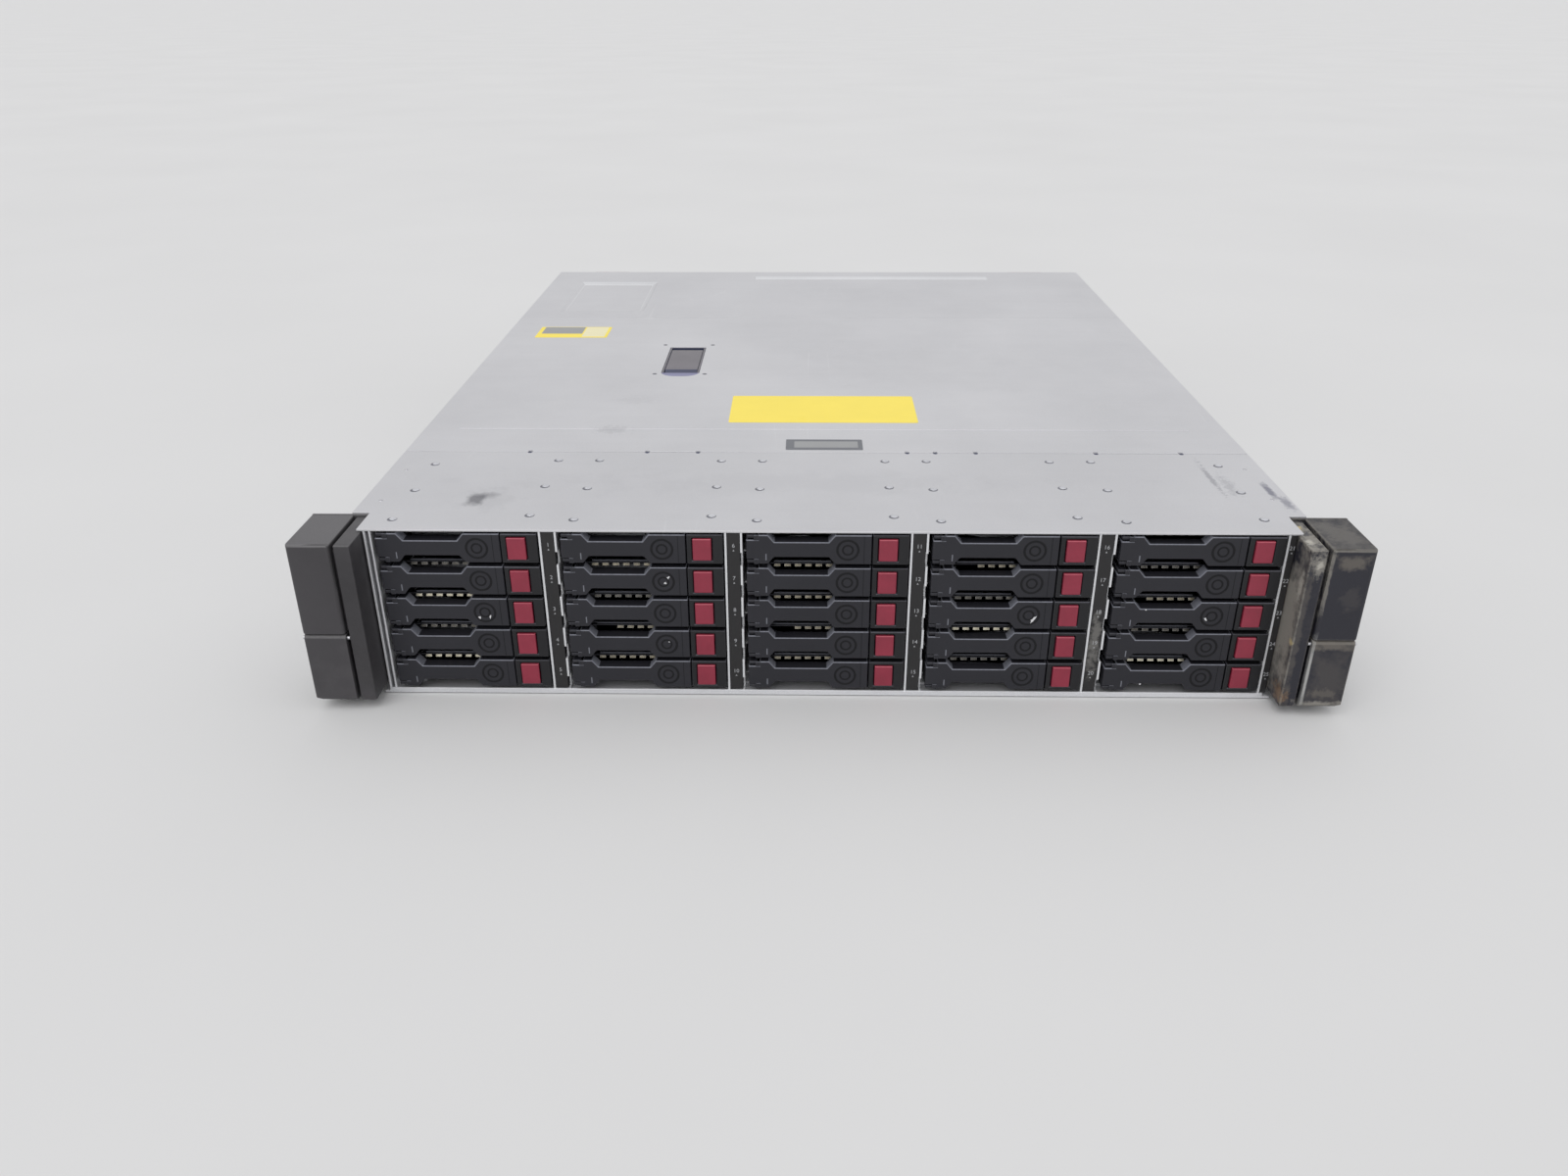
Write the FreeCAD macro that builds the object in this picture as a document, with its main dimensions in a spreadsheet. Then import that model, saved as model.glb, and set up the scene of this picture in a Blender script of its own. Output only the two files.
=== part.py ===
import FreeCAD, Part
import os
import Sketcher
from collections import namedtuple
from types import SimpleNamespace
from FreeCAD import Vector

# Two-unit disk enclosure: a sheet-metal chassis with five columns of five disk carriers.
# Frame: X across, Y to the rear, Z up. Y is zero on the rack plane, the back of the ears.

doc = FreeCAD.newDocument("disk_enclosure")
sheet = doc.addObject("Spreadsheet::Sheet", "Sizes")
nodes = {}
pick_tolerance = 0.01


class Size:
    """A length that carries the sheet formula it comes from."""

    def __init__(self, formula, value):
        self.formula = formula
        self.value = value

    def __add__(self, other):
        other = as_size(other)
        return Size(f"({self.formula} + {other.formula})", self.value + other.value)

    def __sub__(self, other):
        other = as_size(other)
        return Size(f"({self.formula} - {other.formula})", self.value - other.value)

    def __mul__(self, factor):
        return Size(f"({self.formula} * {factor})", self.value * factor)

    def __truediv__(self, divisor):
        return Size(f"({self.formula} / {divisor})", self.value / divisor)

    def __neg__(self):
        return Size(f"(-1 * {self.formula})", -self.value)


def as_size(number):
    """A Size as it is, or a plain number as a Size."""
    if isinstance(number, Size):
        return number
    return Size(f"({number})", float(number))


# Driving dimensions, in millimetres
dimensions = {
    # chassis sizes
    "chassis_width": 446,
    "chassis_height": 87,
    "chassis_depth": 549,
    "sheet_metal": 1,
    "front_reach": 19.5,
    "shoulder": 8.5,
    "wing_inset": 2.5,
    "front_lip": 2.6,
    "top_flange": 10,
    "front_cover_depth": 102,
    "rear_cover_depth": 159,
    "seam": 0.6,
    "clearance": 0.4,
    # bay sizes
    "end_margin": 6.1,
    "divider_width": 8.2,
    "row_gap": 2,
    "foot_room": 3.2,
    "bezel_proud": 0.5,
    "head_room": 0.8,
    "catch_gap": 1.8,
    "plain_gap": 0.6,
    "cage_wall": 1,
    "cage_flange": 12,
    "cage_flange_start": 9,
    "cage_depth": 94,
    "runner_start": 14,
    "runner_width": 3.2,
    "runner_thickness": 0.8,
    "catch_slot_height": 6.6,
    "catch_slot_drop": 1.4,
    "catch_slot_depth": 4,
    # base tray
    "strip_inset": 0.8,
    "strip_depth": 2,
    # front cover
    "panel_lip": 7,
    "panel_lip_inset": 16,
    # cage walls
    "rail_inset": 0.9,
    "runner_gap": 0.3,
    # number strips
    "strip_gap": 0.2,
    "end_strip_width": 2.9,
    # disk carrier
    "lever_depth": 6.5,
    "button_block_width": 16.9,
    "split_gap": 0.5,
    "notch_left": 9.9,
    "notch_margin": 16.9,
    "notch_slope": 2.8,
    "notch_depth": 3.5,
    "hinge_inset": 2.5,
    "hinge_pin_radius": 0.9,
    "pin_play": 0.08,
    "lug_thickness": 1.7,
    "lug_width": 4.2,
    "lug_gap": 0.35,
    "lug_setback": 0.6,
    "button_margin": 5.3,
    "button_width": 8.6,
    "button_top_room": 1.85,
    "button_proud": 0.8,
    "button_length": 6.2,
    "button_gap": 0.3,
    "button_travel": 1.5,
    "cross_wall": 1.8,
    "cross_wall_gap": 1.1,
    "rail_thickness": 1.6,
    "rail_side_inset": 0.2,
    "carrier_length": 143,
    "disk_side_room": 2.275,
    "disk_length": 100.2,
    "disk_top_room": 1.05,
    "disk_setback": 1.5,
    # midplane
    "board_thickness": 2.4,
    "board_inset": 16,
    "board_head_room": 3,
    "connector_width": 42,
    "connector_height": 6,
    "connector_depth": 7,
    "connector_gap": 0.5,
    "bridge_margin": 73,
    "bridge_height": 42,
    "module_length": 185,
    # rack brackets
    "ear_reach": 18.3,
    "bracket_thickness": 2,
    "bracket_foot": 4,
    "bracket_top_gap": 1.4,
    "rack_hole_inset": 8.75,
    "rack_hole_height": 22,
    "rack_hole_radius": 3.5,
    "ear_inner_inset": 1.7,
    # ear covers
    "ear_depth": 36,
    "ear_foot": 5,
    "ear_top_drop": 0.4,
    "ear_split": 41,
    "ear_split_gap": 0.4,
    "ear_post_width": 7.4,
    "ear_post_setback": 1.2,
    "ear_groove": 1.4,
    "ear_groove_depth": 4,
    "ear_round": 1.8,
    # rear lower corner cut away so that the flap swings clear of what the enclosure stands on
    "latch_wall": 2.2,
    "latch_side_gap": 0.3,
    "latch_hinge_radius": 2.2,
    "latch_pin_radius": 0.9,
    "latch_pin_end": 0.8,
    "latch_round": 2.1,
    "latch_relief_depth": 13.3,
    "latch_relief_height": 12,
    # access panel
    "rib_margin": 20,
    "rib_width": 4,
    "rib_height": 0.5,
    "rib_place": 38,
    "relief_width": 2.4,
    "relief_depth": 2.2,
    "latch_place": 90.3,
    "latch_width": 24.4,
    "latch_length": 68,
    "latch_rear_margin": 82,
    "latch_corner": 9,
    "tab_drop": 8,
    "tab_length": 30,
    "tab_inset": 60,
    # panel latch
    "tub_wall": 1.2,
    "tub_depth": 14,
    "tub_flange": 4,
    "tub_gap": 0.2,
    "well_bevel": 5,
    "rod_radius": 1.2,
    "rod_setback": 5.5,
    "rod_drop": 4,
    "paddle_gap": 0.4,
    "paddle_thickness": 2.6,
    "paddle_slope": 3.5,
    "finger_gap": 12,
    "paddle_eye": 2.6,
    # rear cover
    "field_sink": 0.4,
    "field_side_margin": 26,
    "field_width": 63,
    "field_setback": 20,
    "field_length": 100,
    "bar_left": 53,
    "bar_length": 196,
    "bar_width": 12,
    "bar_inset": 18,
    # module cage
    "module_gap": 0.4,
    "supply_width": 88,
    "cage_setback": 4,
    # I/O modules
    "port_gap": 8,
    "port_height": 10,
    "port_depth": 14,
    "vent_size": 3.4,
    "vent_pitch": 6,
    "vent_depth": 3,
    "ejector_width": 14,
    "ejector_height": 26,
    "ejector_reach": 9,
    "ejector_inset": 4,
    # power supplies
    "inlet_width": 27.5,
    "inlet_height": 20,
    "inlet_depth": 15,
    "inlet_inset": 6,
    "blower_radius": 15,
    "blower_depth": 4,
    "blower_inset": 22,
    "bail_reach": 14,
    "bail_bar": 4,
    "bail_width": 40,
    # fan modules
    "fan_length": 62,
    "duct_wall": 5.1,
    "motor_radius": 15,
    "motor_length": 10,
    "arm_width": 4,
    "arm_depth": 4,
    "guard_bar": 2,
    "guard_depth": 2,
    "grip_width": 30,
    "grip_reach": 12,
    "grip_thickness": 3,
    "rotor_gap": 0.4,
    "hub_radius": 16,
    "hub_length": 24,
    "blade_tip_gap": 3,
    "blade_root_sink": 3,
    "blade_thickness": 1.6,
    "blade_chord": 18,
    "blade_sweep": 16,
}
for row, (alias, number) in enumerate(dimensions.items(), 1):
    sheet.set(f"A{row}", alias.replace("_", " "))
    sheet.set(f"B{row}", str(number))
    sheet.setAlias(f"B{row}", alias)
size = SimpleNamespace(**{alias: Size(f"Sizes.{alias}", number) for alias, number in dimensions.items()})

Ring = namedtuple("Ring", "across up radius")
Band = namedtuple("Band", "low high")


def rect(across, up):
    """The corners of a rectangle between two bands."""
    return [(across.low, up.low), (across.high, up.low), (across.high, up.high), (across.low, up.high)]


def mirrored(loop):
    """A loop turned over the centre line."""
    return [(-as_size(across), up) for across, up in reversed(loop)]


def new_body(label):
    body = doc.addObject("PartDesign::Body", label)
    body.Label = label
    return body


def origin_feature(body, role):
    return next(feature for feature in body.Origin.OriginFeatures if feature.Role == role)


def add_ring(sketch, ring):
    """One circle, held by its centre and radius."""
    across, up, radius = [as_size(number) for number in ring]
    circle = Part.Circle(Vector(across.value, up.value, 0), Vector(0, 0, 1), radius.value)
    geometry = sketch.addGeometry(circle)
    hold(sketch, "DistanceX", geometry, 3, across)
    hold(sketch, "DistanceY", geometry, 3, up)
    constraint = sketch.addConstraint(Sketcher.Constraint("Radius", geometry, radius.value))
    sketch.setExpression(f"Constraints[{constraint}]", radius.formula)


def hold(sketch, kind, geometry, point, distance):
    """Tie one coordinate of a sketch point to its formula."""
    constraint = sketch.addConstraint(Sketcher.Constraint(kind, geometry, point, distance.value))
    sketch.setExpression(f"Constraints[{constraint}]", distance.formula)


def add_polygon(sketch, points):
    """One closed polygon, held by its corners."""
    corners = [(as_size(across), as_size(up)) for across, up in points]
    spots = [Vector(across.value, up.value, 0) for across, up in corners]
    count = len(corners)
    first = sketch.GeometryCount
    for index in range(count):
        sketch.addGeometry(Part.LineSegment(spots[index], spots[(index + 1) % count]))
    for index in range(count):
        following = first + (index + 1) % count
        sketch.addConstraint(Sketcher.Constraint("Coincident", first + index, 2, following, 1))
    for index, (across, up) in enumerate(corners):
        hold(sketch, "DistanceX", first + index, 1, across)
        hold(sketch, "DistanceY", first + index, 1, up)


def outline(body, plane, place, loops):
    """A sketch on one of the body's planes, moved to its place along +X, +Y or +Z."""
    sketch = body.newObject("Sketcher::SketchObject", body.Label + "_outline")
    sketch.AttachmentSupport = (origin_feature(body, plane + "_Plane"), [""])
    sketch.MapMode = "FlatFace"
    place = as_size(place)
    offset = -place if plane == "XZ" else place
    sketch.setExpression("AttachmentOffset.Base.z", offset.formula)
    for loop in loops:
        if isinstance(loop, Ring):
            add_ring(sketch, loop)
        else:
            add_polygon(sketch, loop)
    return sketch


def pad(body, plane, span, loops):
    """Add material over a span of the axis that the plane leaves out."""
    feature = body.newObject("PartDesign::Pad", body.Label + "_pad")
    feature.Profile = outline(body, plane, span.low, loops)
    feature.setExpression("Length", (as_size(span.high) - span.low).formula)
    feature.Reversed = plane == "XZ"
    body.Tip = feature
    return feature


def pocket(body, plane, span, loops):
    """Take material away over a span, and make sure that some was there."""
    doc.recompute([body])
    before = body.Shape.Volume
    feature = body.newObject("PartDesign::Pocket", body.Label + "_pocket")
    feature.Profile = outline(body, plane, span.low, loops)
    feature.setExpression("Length", (as_size(span.high) - span.low).formula)
    feature.Reversed = plane != "XZ"
    body.Tip = feature
    doc.recompute([body])
    if not feature.Shape.Volume < before:
        raise RuntimeError(f"a pocket in {body.Label} cuts nothing")
    return feature


def turn(body, plane, loop, axis):
    """A full revolution of a loop about one of the body's axes."""
    feature = body.newObject("PartDesign::Revolution", body.Label + "_turn")
    feature.Profile = outline(body, plane, 0, [loop])
    feature.ReferenceAxis = (origin_feature(body, axis + "_Axis"), [""])
    feature.Angle = 360
    body.Tip = feature
    return feature


def soften(body, radius, chosen):
    """Round the edges that a test picks."""
    dress_edges(body, "PartDesign::Fillet", "Radius", radius, chosen)


def bevel(body, width, chosen):
    """Cut a flat bevel along the edges that a test picks."""
    dress_edges(body, "PartDesign::Chamfer", "Size", width, chosen)


def dress_edges(body, kind, sizing, width, chosen):
    doc.recompute([body])
    base = body.Tip
    names = [f"Edge{number}" for number, edge in enumerate(base.Shape.Edges, 1) if chosen(edge)]
    feature = body.newObject(kind, body.Label + "_edge")
    feature.Base = (base, names)
    feature.setExpression(sizing, width.formula)
    body.Tip = feature


def runs_along(edge, axis):
    """Whether a straight edge lies along an axis."""
    if len(edge.Vertexes) < 2:
        return False
    line = edge.Vertexes[1].Point - edge.Vertexes[0].Point
    return abs(abs(line[axis]) - line.Length) < pick_tolerance


def near(number, goal):
    return abs(number - as_size(goal).value) < pick_tolerance


def link(source, x, y, z):
    """A copy of a master piece at a place given by formulas."""
    copy = doc.addObject("App::Link", source.Label + "_copy")
    copy.LinkedObject = source
    place(copy, x, y, z)
    return copy


def place(thing, x, y, z):
    for axis, distance in zip("xyz", (x, y, z)):
        thing.setExpression(f"Placement.Base.{axis}", as_size(distance).formula)


def group(label, members):
    """Several solids in one node."""
    thing = doc.addObject("Part::Compound", label)
    thing.Label = label
    thing.Links = members
    nodes[label] = thing
    return thing


def other_hand(label, source):
    """A mirrored copy across the middle of the enclosure."""
    thing = doc.addObject("Part::Mirroring", label)
    thing.Label = label
    thing.Source = source
    thing.Normal = Vector(1, 0, 0)
    return thing


# Chassis sizes

half_width = size.chassis_width / 2
half_front = half_width - size.shoulder
wall_inside = half_width - size.sheet_metal
y_front = -size.front_reach
y_rear = size.chassis_depth - size.front_reach
cover_underside = size.chassis_height - size.sheet_metal
panel_start = y_front + size.front_cover_depth
panel_end = y_rear - size.rear_cover_depth

# Bay sizes
columns = 5
rows = 5

bay_width = (half_front * 2 - size.end_margin * 2 - size.divider_width * (columns - 1)) / columns
column_pitch = bay_width + size.divider_width
bezel_width = bay_width - size.catch_gap - size.plain_gap
stack_height = size.chassis_height - size.sheet_metal * 2 - size.head_room - size.foot_room
row_pitch = (stack_height + size.row_gap) / rows
bezel_height = row_pitch - size.row_gap
bay_left = -bay_width / 2
bay_right = bay_width / 2
top_bezel_top = cover_underside - size.head_room


def bezel_top(row):
    return top_bezel_top - row_pitch * row


def bezel_bottom(row):
    return bezel_top(row) - bezel_height


def column_centre(column):
    return column_pitch * (column - (columns - 1) / 2)


# Base tray: floor, side walls that step in between the ears, top flanges and a folded front lip
wing_outer = half_front - size.wing_inset
wing_inner = wing_outer - size.sheet_metal
left_wing_front = y_front + size.clearance
right_wing_front = y_front + size.strip_inset + size.strip_depth + size.clearance


def side_wall(wing_front):
    """Plan of a side wall: the narrow wing, the step behind the ear and the long side."""
    return [
        (wing_inner, wing_front), (wing_outer, wing_front), (wing_outer, 0), (half_width, 0),
        (half_width, y_rear), (wall_inside, y_rear), (wall_inside, size.sheet_metal),
        (wing_inner, size.sheet_metal),
    ]


def plate_plan(front, rear):
    """Plan of a sheet with its front corners cut away for the ears."""
    right = [(half_front, front), (half_front, 0), (half_width, 0), (half_width, rear)]
    return right + [(-across, up) for across, up in reversed(right)]


tray = new_body("base_tray")
pad(tray, "XY", Band(0, size.sheet_metal), [plate_plan(y_front, y_rear)])
side_plans = [side_wall(right_wing_front), mirrored(side_wall(left_wing_front))]
pad(tray, "XY", Band(size.sheet_metal, cover_underside), side_plans)
flange_plan = rect(Band(half_width - size.top_flange, wall_inside), Band(size.sheet_metal, y_rear))
flange_up = Band(cover_underside - size.sheet_metal, cover_underside)
pad(tray, "XY", flange_up, [flange_plan, mirrored(flange_plan)])
lip_plan = rect(Band(-wing_inner, wing_inner), Band(y_front, y_front + size.sheet_metal))
pad(tray, "XY", Band(size.sheet_metal, size.front_lip), [lip_plan])
nodes["base_tray"] = tray

# Front cover: notched sheet with a lip under the access panel's front edge
cover = new_body("front_cover")
cover_up = Band(cover_underside, size.chassis_height)
pad(cover, "XY", cover_up, [plate_plan(y_front, panel_start - size.seam / 2)])
lip_across = Band(-half_width + size.panel_lip_inset, half_width - size.panel_lip_inset)
panel_lip_plan = rect(lip_across, Band(panel_start - size.panel_lip, panel_start + size.panel_lip))
pad(cover, "XY", flange_up, [panel_lip_plan])
nodes["front_cover"] = cover

# Cage walls: one channel with catch slots on each bay's left, one plain channel on its right
web_front = y_front + size.clearance
web_back = y_front + size.cage_depth
slot_back = y_front + size.catch_slot_depth
lip_back = y_front + size.sheet_metal
foot_span = Band(y_front + size.cage_flange_start, web_back)
runner_span = Band(y_front + size.runner_start, web_back)


def runner_rects(across):
    """One ledge under each carrier's rail."""
    loops = []
    for row in range(rows):
        top = bezel_bottom(row) + size.rail_inset - size.runner_gap
        loops.append(rect(across, Band(top - size.runner_thickness, top)))
    return loops


def cage_channel(label, web_across, web_plan, foot_across, runner_across):
    """A web with a flange at its top and foot and a ledge for each row."""
    body = new_body(label)
    pad(body, "YZ", web_across, [web_plan])
    foot_plan = rect(foot_across, foot_span)
    pad(body, "XY", Band(cover_underside - size.cage_wall, cover_underside), [foot_plan])
    pad(body, "XY", Band(size.sheet_metal, size.sheet_metal + size.cage_wall), [foot_plan])
    pad(body, "XZ", runner_span, runner_rects(runner_across))
    return body


web_rear = [(web_back, size.sheet_metal), (web_back, cover_underside), (web_front, cover_underside)]
web_foot = [(web_front, size.front_lip), (lip_back, size.front_lip), (lip_back, size.sheet_metal)]
catch_slots = []
for row in range(rows):
    slot_foot = bezel_bottom(row) - size.catch_slot_drop
    slot_top = slot_foot + size.catch_slot_height
    catch_slots += [(web_front, slot_top), (slot_back, slot_top)]
    catch_slots += [(slot_back, slot_foot), (web_front, slot_foot)]

catch_wall = cage_channel(
    "catch_wall",
    Band(bay_left - size.cage_wall, bay_left),
    web_rear + catch_slots + web_foot,
    Band(bay_left, bay_left + size.cage_flange),
    Band(bay_left, bay_left + size.runner_width),
)
plain_wall = cage_channel(
    "plain_wall",
    Band(bay_right, bay_right + size.cage_wall),
    web_rear + web_foot,
    Band(bay_right - size.cage_flange, bay_right),
    Band(bay_right - size.runner_width, bay_right),
)
walls = []
for column in range(columns):
    walls.append(link(catch_wall, column_centre(column), 0, 0))
    walls.append(link(plain_wall, column_centre(column), 0, 0))
group("cage_walls", walls)

# Number strips: black bars between the columns, and a narrow one at the right end
strip_left = bay_right + size.cage_wall + size.strip_gap
strip_right = column_pitch + bay_left - size.cage_wall - size.strip_gap
strip_span = Band(y_front + size.strip_inset, y_front + size.strip_inset + size.strip_depth)
strip_height = Band(size.front_lip + size.strip_gap, cover_underside - size.strip_gap)
strip = new_body("number_strip")
pad(strip, "XZ", strip_span, [rect(Band(strip_left, strip_right), strip_height)])
end_strip = new_body("end_number_strip")
end_strip_across = Band(strip_left, strip_left + size.end_strip_width)
pad(end_strip, "XZ", strip_span, [rect(end_strip_across, strip_height)])
strips = [link(strip, column_centre(column), 0, 0) for column in range(columns - 1)]
strips.append(link(end_strip, column_centre(columns - 1), 0, 0))
group("number_strips", strips)

# Disk carrier, in its own frame: left edge, front plane and foot of the bezel at zero
middle_height = bezel_height / 2
split_place = bezel_width - size.button_block_width
notch_right = split_place - size.notch_margin
cross_wall_front = size.lever_depth + size.cross_wall_gap
cross_wall_back = cross_wall_front + size.cross_wall
lever_right = split_place - size.split_gap / 2
block_left = split_place + size.split_gap / 2
notch_floor = bezel_height - size.notch_depth
vent_across = Band(size.notch_left + size.notch_slope, notch_right - size.notch_slope)
lever_foot = size.lug_thickness + size.lug_gap * 2
lever_waist = Band(lever_foot, bezel_height - lever_foot)
lever_step = size.lug_width + size.rail_side_inset + size.lug_gap * 3


def lever_profile():
    """The bezel left of the split, with a notch above and below and room for the hinge lugs."""
    upper = [
        (0, lever_waist.high), (lever_step, lever_waist.high), (lever_step, bezel_height),
        (size.notch_left, bezel_height), (vent_across.low, notch_floor),
        (vent_across.high, notch_floor), (notch_right, bezel_height),
        (lever_right, bezel_height),
    ]
    lower = [(across, bezel_height - up) for across, up in reversed(upper)]
    return upper + lower


fixed_lever = new_body("fixed_lever")
pad(fixed_lever, "XZ", Band(0, size.lever_depth), [lever_profile()])
lever = new_body("lever")
pad(lever, "XZ", Band(0, size.lever_depth), [lever_profile()])
pin_hole = Ring(size.hinge_inset, size.hinge_inset, size.hinge_pin_radius + size.pin_play)
pocket(lever, "XY", Band(0, bezel_height), [pin_hole])

pin = new_body("lever_pin")
pin_end = size.rail_side_inset + size.lug_thickness
pin_span = Band(pin_end, bezel_height - pin_end)
pad(pin, "XY", pin_span, [Ring(size.hinge_inset, size.hinge_inset, size.hinge_pin_radius)])

# Sled: cross wall, two rails, hinge lugs and the block round the button
sled = new_body("sled")
rail_height = Band(size.rail_inset, bezel_height - size.rail_inset)
sled_across = Band(size.rail_side_inset, bezel_width - size.rail_side_inset)
pad(sled, "XZ", Band(cross_wall_front, cross_wall_back), [rect(sled_across, rail_height)])
left_rail = rect(Band(sled_across.low, sled_across.low + size.rail_thickness), rail_height)
right_rail = rect(Band(sled_across.high - size.rail_thickness, sled_across.high), rail_height)
pad(sled, "XZ", Band(cross_wall_back, size.carrier_length), [left_rail, right_rail])
lug_across = Band(sled_across.low, sled_across.low + size.lug_width)
lower_lug = rect(lug_across, Band(size.rail_side_inset, pin_span.low))
upper_lug = rect(lug_across, Band(pin_span.high, bezel_height - size.rail_side_inset))
pad(sled, "XZ", Band(size.lug_setback, cross_wall_back), [lower_lug, upper_lug])
pad(sled, "XZ", Band(0, cross_wall_front), [rect(Band(block_left, bezel_width), Band(0, bezel_height))])
button_right = bezel_width - size.button_margin
button_across = Band(button_right - size.button_width, button_right)
button_up = Band(size.button_top_room, bezel_height - size.button_top_room)
socket_across = Band(button_across.low - size.button_gap, button_across.high + size.button_gap)
socket_up = Band(button_up.low - size.button_gap, button_up.high + size.button_gap)
button_back = size.button_length - size.button_proud
socket_span = Band(0, button_back + size.button_travel + size.button_gap)
pocket(sled, "XZ", socket_span, [rect(socket_across, socket_up)])
vent_low = rect(vent_across, Band(size.rail_inset * 2, size.notch_depth + size.rail_inset))
vent_high = rect(vent_across, Band(notch_floor - size.rail_inset, bezel_height - size.rail_inset * 2))
pocket(sled, "XZ", Band(cross_wall_front, cross_wall_back), [vent_low, vent_high])

button = new_body("button")
pad(button, "XZ", Band(-size.button_proud, button_back), [rect(button_across, button_up)])

disk = new_body("disk")
disk_across = Band(size.disk_side_room, bezel_width - size.disk_side_room)
disk_up = Band(size.disk_top_room, bezel_height - size.disk_top_room)
disk_back = size.carrier_length - size.disk_setback
pad(disk, "XZ", Band(disk_back - size.disk_length, disk_back), [rect(disk_across, disk_up)])

# Twenty-five carriers; the first column has its levers and buttons as nodes of their own
loose_column = 0
carrier_front = y_front - size.bezel_proud
for column in range(columns):
    for row in range(rows):
        number = column * rows + row + 1
        carrier_left = column_centre(column) + bay_left + size.catch_gap
        spot = (carrier_left, carrier_front, bezel_bottom(row))
        if column == loose_column:
            place(group(f"lever_{number:02d}", [lever]), *spot)
            place(group(f"button_{number:02d}", [button]), *spot)
            pieces = [sled, disk, pin]
        else:
            pieces = [sled, disk, fixed_lever, button]
        place(group(f"drive_{number:02d}", pieces), *spot)

# Midplane: disk board with a connector for each bay, board for the rear modules and a bridge between them
board_front = carrier_front + size.carrier_length + size.connector_gap + size.connector_depth
board_back = board_front + size.board_thickness
power_board_back = y_rear - size.module_length - size.connector_gap
power_board_front = power_board_back - size.board_thickness
board_face = rect(Band(-half_width + size.board_inset, half_width - size.board_inset),
                  Band(size.sheet_metal, cover_underside - size.board_head_room))
disk_board = new_body("disk_board")
pad(disk_board, "XZ", Band(board_front, board_back), [board_face])
power_board = new_body("power_board")
pad(power_board, "XZ", Band(power_board_front, power_board_back), [board_face])
bridge_board = new_body("bridge_board")
bridge_up = Band(size.bridge_height, size.bridge_height + size.board_thickness)
bridge_face = rect(Band(-half_width + size.bridge_margin, half_width - size.bridge_margin), bridge_up)
pad(bridge_board, "XZ", Band(board_back, power_board_front), [bridge_face])
connector = new_body("connector")
connector_face = rect(Band(-size.connector_width / 2, size.connector_width / 2),
                      Band(-size.connector_height / 2, size.connector_height / 2))
pad(connector, "XZ", Band(board_front - size.connector_depth, board_front), [connector_face])
boards = [disk_board, power_board, bridge_board]
for column in range(columns):
    for row in range(rows):
        boards.append(link(connector, column_centre(column), 0, bezel_bottom(row) + middle_height))
group("midplane", boards)

# Rack brackets: flat steel flanges with the rack screw's hole
ear_outer = half_width + size.ear_reach
ear_inner = half_front - size.ear_inner_inset
bracket = new_body("right_bracket")
bracket_up = Band(size.bracket_foot, cover_underside - size.bracket_top_gap)
pad(bracket, "XZ", Band(-size.bracket_thickness, 0), [rect(Band(ear_inner, ear_outer), bracket_up)])
rack_hole = Ring(ear_outer - size.rack_hole_inset, size.rack_hole_height, size.rack_hole_radius)
pocket(bracket, "XZ", Band(-size.bracket_thickness, 0), [rack_hole])
group("rack_brackets", [bracket, other_hand("left_bracket", bracket)])

# Ear covers: an inner post of full height and an upper block, with a groove between them
ear_front = -size.ear_depth
ear_back = -size.bracket_thickness
post_across = Band(ear_inner, ear_inner + size.ear_post_width)
block_across = Band(ear_inner + size.ear_post_width + size.ear_groove, ear_outer)
post_up = Band(size.ear_foot, cover_underside - size.clearance)
block_up = Band(size.ear_split, size.chassis_height - size.ear_top_drop)
ear = new_body("right_ear")
pad(ear, "XZ", Band(ear_front + size.ear_post_setback, ear_back), [rect(post_across, post_up)])
pad(ear, "XZ", Band(ear_front, ear_back), [rect(block_across, block_up)])
groove_floor = Band(ear_front + size.ear_groove_depth, ear_back)
groove_across = Band(post_across.high, block_across.low)
groove_up = Band(size.ear_split, post_up.high - size.ear_groove_depth)
pad(ear, "XZ", groove_floor, [rect(groove_across, groove_up)])


def outer_front_edge(edge):
    """The block's front edges, apart from the split."""
    ends = [vertex.Point for vertex in edge.Vertexes]
    at_front = all(near(end.y, ear_front) for end in ends)
    at_split = all(near(end.z, size.ear_split) for end in ends)
    return at_front and not at_split


soften(ear, size.ear_round, outer_front_edge)
nodes["right_ear"] = ear
nodes["left_ear"] = other_hand("left_ear", ear)

# Ear latches: hollow flaps over the rack screws, hinged close behind their front top edge, with the
# rear lower corner cut away so that the flap swings clear of what the enclosure stands on
latch_top = size.ear_split - size.ear_split_gap
latch_across = Band(block_across.low, ear_outer - size.latch_side_gap)
latch_back = ear_back - size.clearance
latch_axis_y = ear_front + size.latch_hinge_radius
latch_axis_z = latch_top - size.latch_hinge_radius
flap = new_body("right_ear_latch")
flap_side = [
    (ear_front, size.ear_foot), (latch_back - size.latch_relief_depth, size.ear_foot),
    (latch_back, size.ear_foot + size.latch_relief_height), (latch_back, latch_top), (ear_front, latch_top),
]
pad(flap, "YZ", latch_across, [flap_side])
hollow_across = Band(latch_across.low + size.latch_wall, latch_across.high - size.latch_wall)
hollow_top = latch_axis_z - size.latch_hinge_radius - size.latch_wall / 2
hollow_up = Band(size.ear_foot + size.latch_wall, hollow_top)
pocket(flap, "XZ", Band(ear_front + size.latch_wall, latch_back), [rect(hollow_across, hollow_up)])
pocket(flap, "YZ", latch_across, [Ring(latch_axis_y, latch_axis_z, size.latch_pin_radius + size.pin_play)])


def hinge_edge(edge):
    """The front top edge, which turns about the pin."""
    ends = [vertex.Point for vertex in edge.Vertexes]
    return runs_along(edge, 0) and all(near(end.y, ear_front) and near(end.z, latch_top) for end in ends)


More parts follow.
